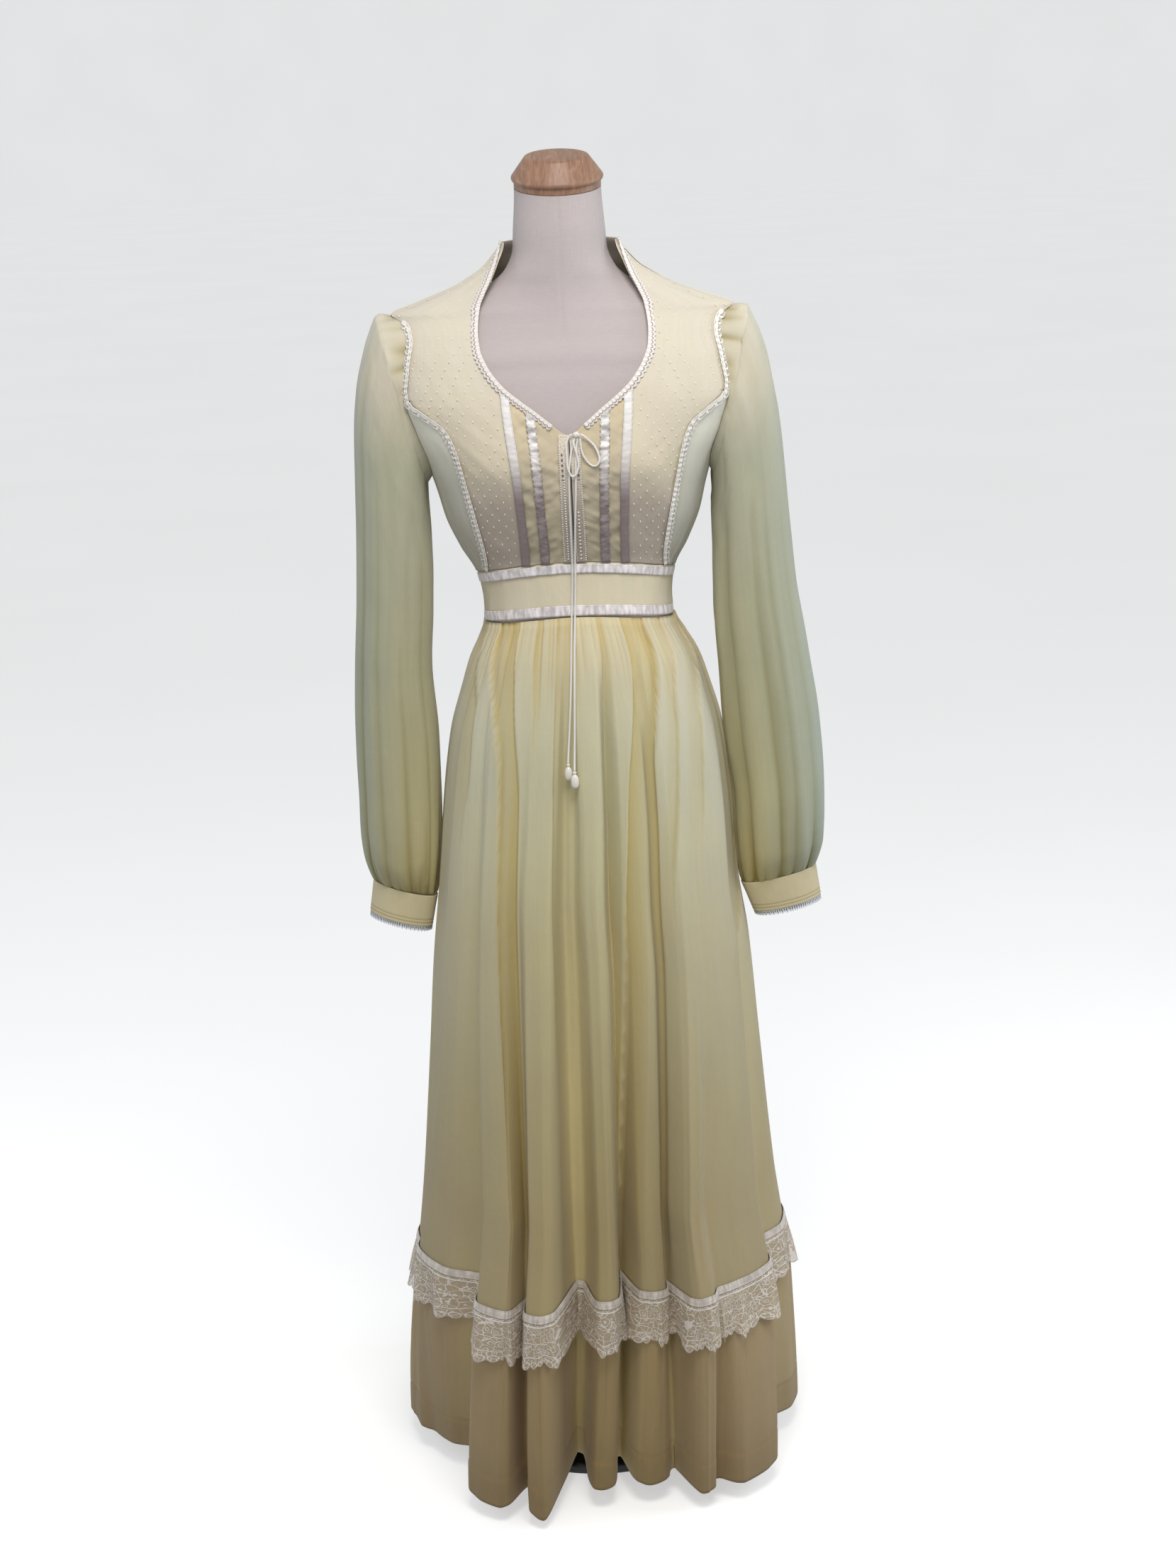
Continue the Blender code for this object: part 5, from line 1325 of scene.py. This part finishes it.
skirt = {
    "top": 1.0085, "seam": 0.262, "cut": (0.86, 0.76), "frillWide": 1.1,
    "envelope": [  # height, half width, front and back depth without folds
        (0.03, 0.236, 0.23, 0.225), (0.186, 0.2295, 0.222, 0.215),
        (0.335, 0.211, 0.205, 0.198), (0.48, 0.198, 0.188, 0.182),
        (0.622, 0.186, 0.172, 0.169), (0.7, 0.1755, 0.16, 0.16),
        (0.8, 0.1672, 0.1435, 0.148),
        (0.88, 0.156, 0.1284, 0.135), (0.9305, 0.141, 0.1145, 0.117),
        (0.9639, 0.129, 0.1045, 0.102), (0.99, 0.115, 0.092, 0.088),
        (1.0085, 0.1082, 0.0838, 0.0798)],
    "folds": [  # angle from the front, radius and height at the hem, then angle and radius at the flounce seam
        (-90.0, 0.236, 0.03, -90.0, 0.2165), (-78.0, 0.234, 0.03, -78.0, 0.221),
        (-66.0, 0.219, 0.031, -66.0, 0.229), (-47.0, 0.196, 0.032, -41.0, 0.208),
        (-26.5, 0.28, 0.02, -23.6, 0.279), (-22.4, 0.236, 0.026, -21.8, 0.238),
        (-15.3, 0.281, 0.013, -15.3, 0.282), (-13.0, 0.152, 0.032, -9.8, 0.182),
        (-1.5, 0.232, 0.026, 1.0, 0.241), (5.3, 0.165, 0.031, 7.0, 0.156),
        (13.0, 0.228, 0.026, 15.5, 0.227), (22.3, 0.208, 0.03, 21.0, 0.201),
        (25.0, 0.264, 0.022, 24.5, 0.266), (31.0, 0.25, 0.026, 31.5, 0.249),
        (36.5, 0.272, 0.024, 40.0, 0.248), (62.0, 0.207, 0.032, 66.0, 0.203),
        (90.0, 0.2365, 0.03, 90.0, 0.2195), (101.0, 0.212, 0.032, 101.0, 0.2018),
        (113.0, 0.24, 0.028, 113.0, 0.223), (124.0, 0.188, 0.032, 124.0, 0.1814),
        (136.0, 0.246, 0.027, 136.0, 0.2257), (146.0, 0.184, 0.031, 146.0, 0.1762),
        (157.0, 0.244, 0.026, 157.0, 0.2225), (167.0, 0.178, 0.031, 167.0, 0.1703),
        (177.0, 0.242, 0.027, 177.0, 0.2202), (187.0, 0.176, 0.032, 187.0, 0.1685),
        (198.0, 0.246, 0.028, 198.0, 0.2238), (209.0, 0.188, 0.031, 209.0, 0.179),
        (221.0, 0.238, 0.027, 221.0, 0.2192), (233.0, 0.192, 0.032, 233.0, 0.1842),
        (245.0, 0.243, 0.028, 245.0, 0.2252), (257.0, 0.214, 0.031, 257.0, 0.2033),
        (270.0, 0.236, 0.03, 270.0, 0.2165)],
    "ridgeStart": 0.06, "ridgeGrowth": 1.15, "face": 0.75, "gap": 7, "gather": 0.0005,
    "hollows": [(0.0, 0.0), (0.2, 0.38), (0.4, 0.43), (0.65, 0.5), (0.85, 0.68), (1.0, 1.0)],  # down to the seam
    "laceTop": 0.2578, "laceBottom": 0.206, "tierHigh": 0.235, "hemBand": 0.036, "around": 0.04,
    "waist": {"count": 92, "around": 32.0, "deep": (0.001, 0.0034), "long": (0.015, 0.12), "wide": (0.05, 0.13),
              "slant": 1.5},
    "behind": {"count": 34, "around": 32.0, "deep": (0.0018, 0.005), "long": (0.06, 0.5), "wide": (0.07, 0.2),
               "slant": 0.7},
    "creases": [  # side where the cloth lies under, depth, width of the doubled cloth, height and step along it
        (-1, 0.0022, 0.026, [(0.784, 2.4), (0.84, 2.55), (0.916, 2.38), (0.99, 1.4)]),
        (1, 0.003, 0.022, [(0.45, 4.25), (0.598, 4.17), (0.858, 3.9), (0.996, 2.6)]),
        (-1, 0.0032, 0.028, [(0.288, 4.93), (0.594, 4.93), (0.82, 4.9), (0.996, 4.05)]),
        (1, 0.002, 0.01, [(0.88, 5.45), (0.898, 5.43), (0.996, 5.2)]),
        (1, 0.0016, 0.024, [(0.52, 6.62), (0.598, 6.62), (0.996, 6.48)]),
        (1, 0.002, 0.012, [(0.9, 8.95), (0.992, 9.12)]),
        (1, 0.0034, 0.026, [(0.302, 9.1), (0.59, 9.38), (0.822, 9.78), (0.992, 10.68)]),
        (1, 0.0018, 0.01, [(0.89, 10.35), (0.918, 10.45), (0.994, 11.5)]),
        (-1, 0.0034, 0.022, [(0.294, 11.2), (0.588, 11.18), (0.858, 11.2), (0.994, 12.25)]),
        (-1, 0.0018, 0.016, [(0.702, 11.6), (0.818, 12.12), (0.932, 12.85), (0.996, 13.53)]),
        (-1, 0.0018, 0.022, [(0.76, 13.3), (0.774, 13.35), (0.908, 14.08), (0.992, 15.38)]),
        (-1, 0.002, 0.024, [(0.564, 14.68), (0.744, 15.93), (0.872, 15.88), (0.98, 15.98)])],
    "tier": {"count": 96, "around": 32.0, "deep": (0.0006, 0.0026), "long": (0.04, 0.22), "wide": (0.04, 0.12),
             "slant": 0.5},
}


def foldValue(step, column):
    table = np.array(skirt["folds"])
    count = len(table) - 1
    index = np.floor(step).astype(int)
    t = step - index
    turns, index = np.divmod(index, count)
    first, second = table[index, column], table[index + 1, column]
    if column in (0, 3):
        return mix(first, second, t) + 360.0 * turns
    wave = 0.5 - 0.5 * np.cos(math.pi * t)
    if column == 2:
        return mix(first, second, wave)
    late = np.where(index == skirt["gap"], 0.3, 0.03)  # the hollow that shows the base is wider
    steep = np.where(first > second, ease(0.44, 0.97, t), ease(late, late + 0.53, t))  # a broad face, a steep wall
    return mix(first, second, mix(wave, steep, skirt["face"]))


def envelope(angle, height):
    half, front, back = (readTable(skirt["envelope"], height, k) for k in (1, 2, 3))
    depth = np.where(np.cos(angle) > 0, front, back)
    return 1 / np.hypot(np.sin(angle) / half, np.cos(angle) / depth)


def skirtSkin(step, height):
    fall = (skirt["top"] - height) / (skirt["top"] - 0.03)
    seamFall = (skirt["top"] - skirt["seam"]) / (skirt["top"] - 0.03)
    below = np.clip((fall - seamFall) / (1 - seamFall), 0, 1)
    atWaist = -90.0 + step * 360.0 / (len(skirt["folds"]) - 1)
    hemAngle, seamAngle = foldValue(step, 0), foldValue(step, 3)
    angle = np.radians(mix(mix(atWaist, seamAngle, np.minimum(1, fall * 1.5)), hemAngle, below))
    hemDip = foldValue(step, 1) - envelope(np.radians(hemAngle), 0.03)
    dip = foldValue(step, 4) - envelope(np.radians(seamAngle), skirt["seam"])
    ridge = (np.maximum(0, fall - skirt["ridgeStart"]) / (seamFall - skirt["ridgeStart"])) ** skirt["ridgeGrowth"]
    hollow = readTable(skirt["hollows"], np.clip(fall / seamFall, 0, 1), 1)
    dip = np.where(fall < seamFall, dip * np.where(dip > 0, ridge, hollow), mix(dip, hemDip, below))
    gather = skirt["gather"] * np.maximum(0, 1 - fall / 0.35)
    radius = envelope(angle, height) + dip - gather * (1 - np.cos(math.tau * step)) / 2
    return join(radius * np.sin(angle) + leanAt(height), -radius * np.cos(angle), height + waistLift(angle, height))


def onSkirt(step, height, out):
    step, height = np.broadcast_arrays(step, height)
    around = skirtSkin(step + 0.05, height) - skirtSkin(step - 0.05, height)
    up = skirtSkin(step, height + 0.002) - skirtSkin(step, height - 0.002)
    return skirtSkin(step, height) + unit(np.cross(around, up)) * np.asarray(out)[..., None]


def hollowness(step, height):  # 0 on a ridge of the big folds, 1 deep in a hollow
    return np.clip((0.228 - foldValue(step, 4)) / 0.05, 0, 1) * np.clip((skirt["top"] - height) / 0.45, 0, 1)


def creaseLines(step, height):  # long creases where the cloth laps: how far out, and how doubled the cloth is
    out, doubledAndShade = np.zeros(step.shape), np.zeros(step.shape)
    stepWide = mix(0.021, 0.043, np.clip((skirt["top"] - height) / 0.75, 0, 1))
    for side, deep, wide, points in skirt["creases"]:
        gap = (step - readTable(points, height, 1)) * side * stepWide
        ends = ease(points[0][0] - 0.06, points[0][0] + 0.1, height)
        out += deep * ends * (0.5 - ease(-0.0013, 0.0013, gap)) * 2 * np.exp(-np.abs(gap) / 0.012)
        band = np.where(gap > 0, np.clip(1 - gap / wide, 0, 1) ** 0.5, 0)
        # the doubled cloth's deeper tone beside each crease, and painted shade along the crease line itself
        doubledAndShade = np.maximum(doubledAndShade, ends * (0.7 * band * deep / 0.0034 + 0.15 * np.exp(-(gap / 0.002) ** 2)))
    return out, doubledAndShade


def skirtFolds(step, height):  # pleats from the waist seam, and finer folds between the big ones
    drop, x = skirt["top"] - height, step * skirt["around"]
    down = drop / 0.75
    behind = ease(16.0, 17.0, step) * ease(32.0, 31.0, step)
    pleats = gathers(step, drop, skirt["waist"], 190) + gathers(step, drop, skirt["behind"], 191) * behind
    creases, doubledAndShade = creaseLines(step, height)
    wide = ripples(x, height, 0.03, 0.55, 140) - 1.2 * np.abs(ripples(x, height, 0.021, 0.48, 141))
    small = ripples(x + height * 0.05, height, 0.01, 0.06, 143)
    full = 0.0012 * np.exp(-drop / 0.12)
    start = mix(0.35, 1.0, ease(0.0, 0.02, drop))
    wide = wide * ease(0.02, 0.3, down) * ease(0.264, 0.33, height) * mix(0.0018, 0.0028, behind)
    out = (wide + full - pleats + creases + 0.0002 * small) * start
    # painted light: the big hollows lightened; painted shade: the pleats and creases darkened
    hollowLight = 0.6 * hollowness(step, height) * ease(0.86, 0.6, height)
    return out, np.clip(0.5 * pleats / 0.0032 + doubledAndShade - hollowLight, -1, 1)


def skirtPart(name, half, columns, rows, heights, out, paint, size, wall, nodes, on="midriff_front_band"):
    def place(u, v):
        step = half * 16 + u * 16
        lift = out(step, v)
        lift, depth = lift if isinstance(lift, tuple) else (lift, np.zeros(len(u)))
        return onSkirt(step, heights(step, v), lift), depth

    clothPiece(name, gridMesh(columns, rows, place), paint, size, wall, nodes, on=on)


def topHeights(step, v):
    return mix(skirt["seam"] + 0.0006, skirt["top"], v ** 1.15)


def topOut(step, v):
    out, depth = skirtFolds(step, topHeights(step, v))
    return 0.0003 + out, depth


def flounceHeights(step, v):
    return mix(foldValue(step, 2), skirt["seam"] - 0.0004, v)


def flounceOut(step, v):  # gathers from the seam down, and a doubled hem with its stitch line
    up, x = v * skirt["tierHigh"], step * skirt["around"]
    down = skirt["tierHigh"] - up
    pleats = gathers(step, down, skirt["tier"], 170)
    wide = ripples(x, v, 0.02, 1.6, 171) - 0.8 * np.abs(ripples(x, v, 0.012, 1.1, 172))
    band = ease(skirt["hemBand"] + 0.0012, skirt["hemBand"], up)
    line = np.exp(-((up - skirt["hemBand"]) / 0.001) ** 2)
    out = 0.0008 + (0.0024 * wide * ease(0, 0.06, down) - pleats * ease(0, 0.02, down)) * mix(1.0, 0.7, band)
    # colour depth: painted shade in the gathers and along the stitch line, a deeper tone on the doubled hem, painted
    # light in the big hollows
    depth = 0.3 * pleats / 0.004 + 0.1 * band + 0.3 * line - 0.8 * hollowness(step, 0.3)
    return out + 0.0005 * band - 0.0006 * line, np.clip(depth, -1, 1)


def laceWave(step, v):  # the frill's own gathers, wider at its free edge
    turn = math.tau * step * 1.4 + 2.0 * ripples(step, v, 1.9, 3, 160)
    lobes = np.sin(turn + 0.8 * np.sin(turn))
    fine = ripples(step * skirt["around"], v * 0.05, 0.007, 0.03, 161)
    return 0.004 * (1 - v) ** 0.7 * lobes + 0.0012 * fine * (1 - v)


def laceHeights(step, v):  # the lobes that stand out hang lower
    edge = 0.0032 * (1 - np.abs(np.sin(math.pi * step * 5.5)) ** 0.8) * ease(0.2, 0.0, v)
    return mix(skirt["laceBottom"] - 0.9 * laceWave(step, v), skirt["laceTop"], v) + edge


def laceOut(step, v):
    return 0.0036 + 0.0034 * (1 - v) + laceWave(step, v)


def headingHeights(step, v):
    return skirt["seam"] + (v - 0.5) * trims["heading"]


def headingOut(step, v):
    cord = np.exp(-((v - 0.24) / 0.07) ** 2)
    bulge = 0.0008 * np.sin(math.pi * v)
    return 0.0023 + bulge + 0.001 * cord + 0.6 * bulge * ripples(step * skirt["around"], v, 0.006, 0.8, 180)


def makeSkirt():
    for half, label in ((0, "front"), (1, "back")):
        cloth, flounce = "skirt_" + label + "_cloth", "flounce_" + label + "_cloth"
        skirtPart(cloth, half, 440, 92, topHeights, topOut, paints["skirt"], skirt["cut"], 0.0006,
                  ["skirt_front"] if half == 0 else ["skirt_back_right", "skirt_back_left"])
        skirtPart(flounce, half, 440, 64, flounceHeights, flounceOut, paints["skirt"],
                  (skirt["frillWide"], skirt["tierHigh"]), 0.0007, ["flounce_" + label])
        skirtPart("hemLace_" + label, half, 640, 24, laceHeights, laceOut, paints["hemLace"],
                  (skirt["frillWide"], trims["hemLace"]), 0.0004, ["hem_lace_" + label], on=flounce)
        skirtPart("heading_" + label, half, 420, 14, headingHeights, headingOut, paints["heading"],
                  (skirt["frillWide"], trims["heading"]), 0.0006, ["lace_heading_" + label], on=cloth)
    print("skirt made")


makeSkirt()


# sizes and the end

with open("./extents.json", "w") as out:
    json.dump({"cad": [list(map(float, corner)) for corner in cadBox],
               "visual": [list(map(float, corner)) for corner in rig.bounds()]}, out)
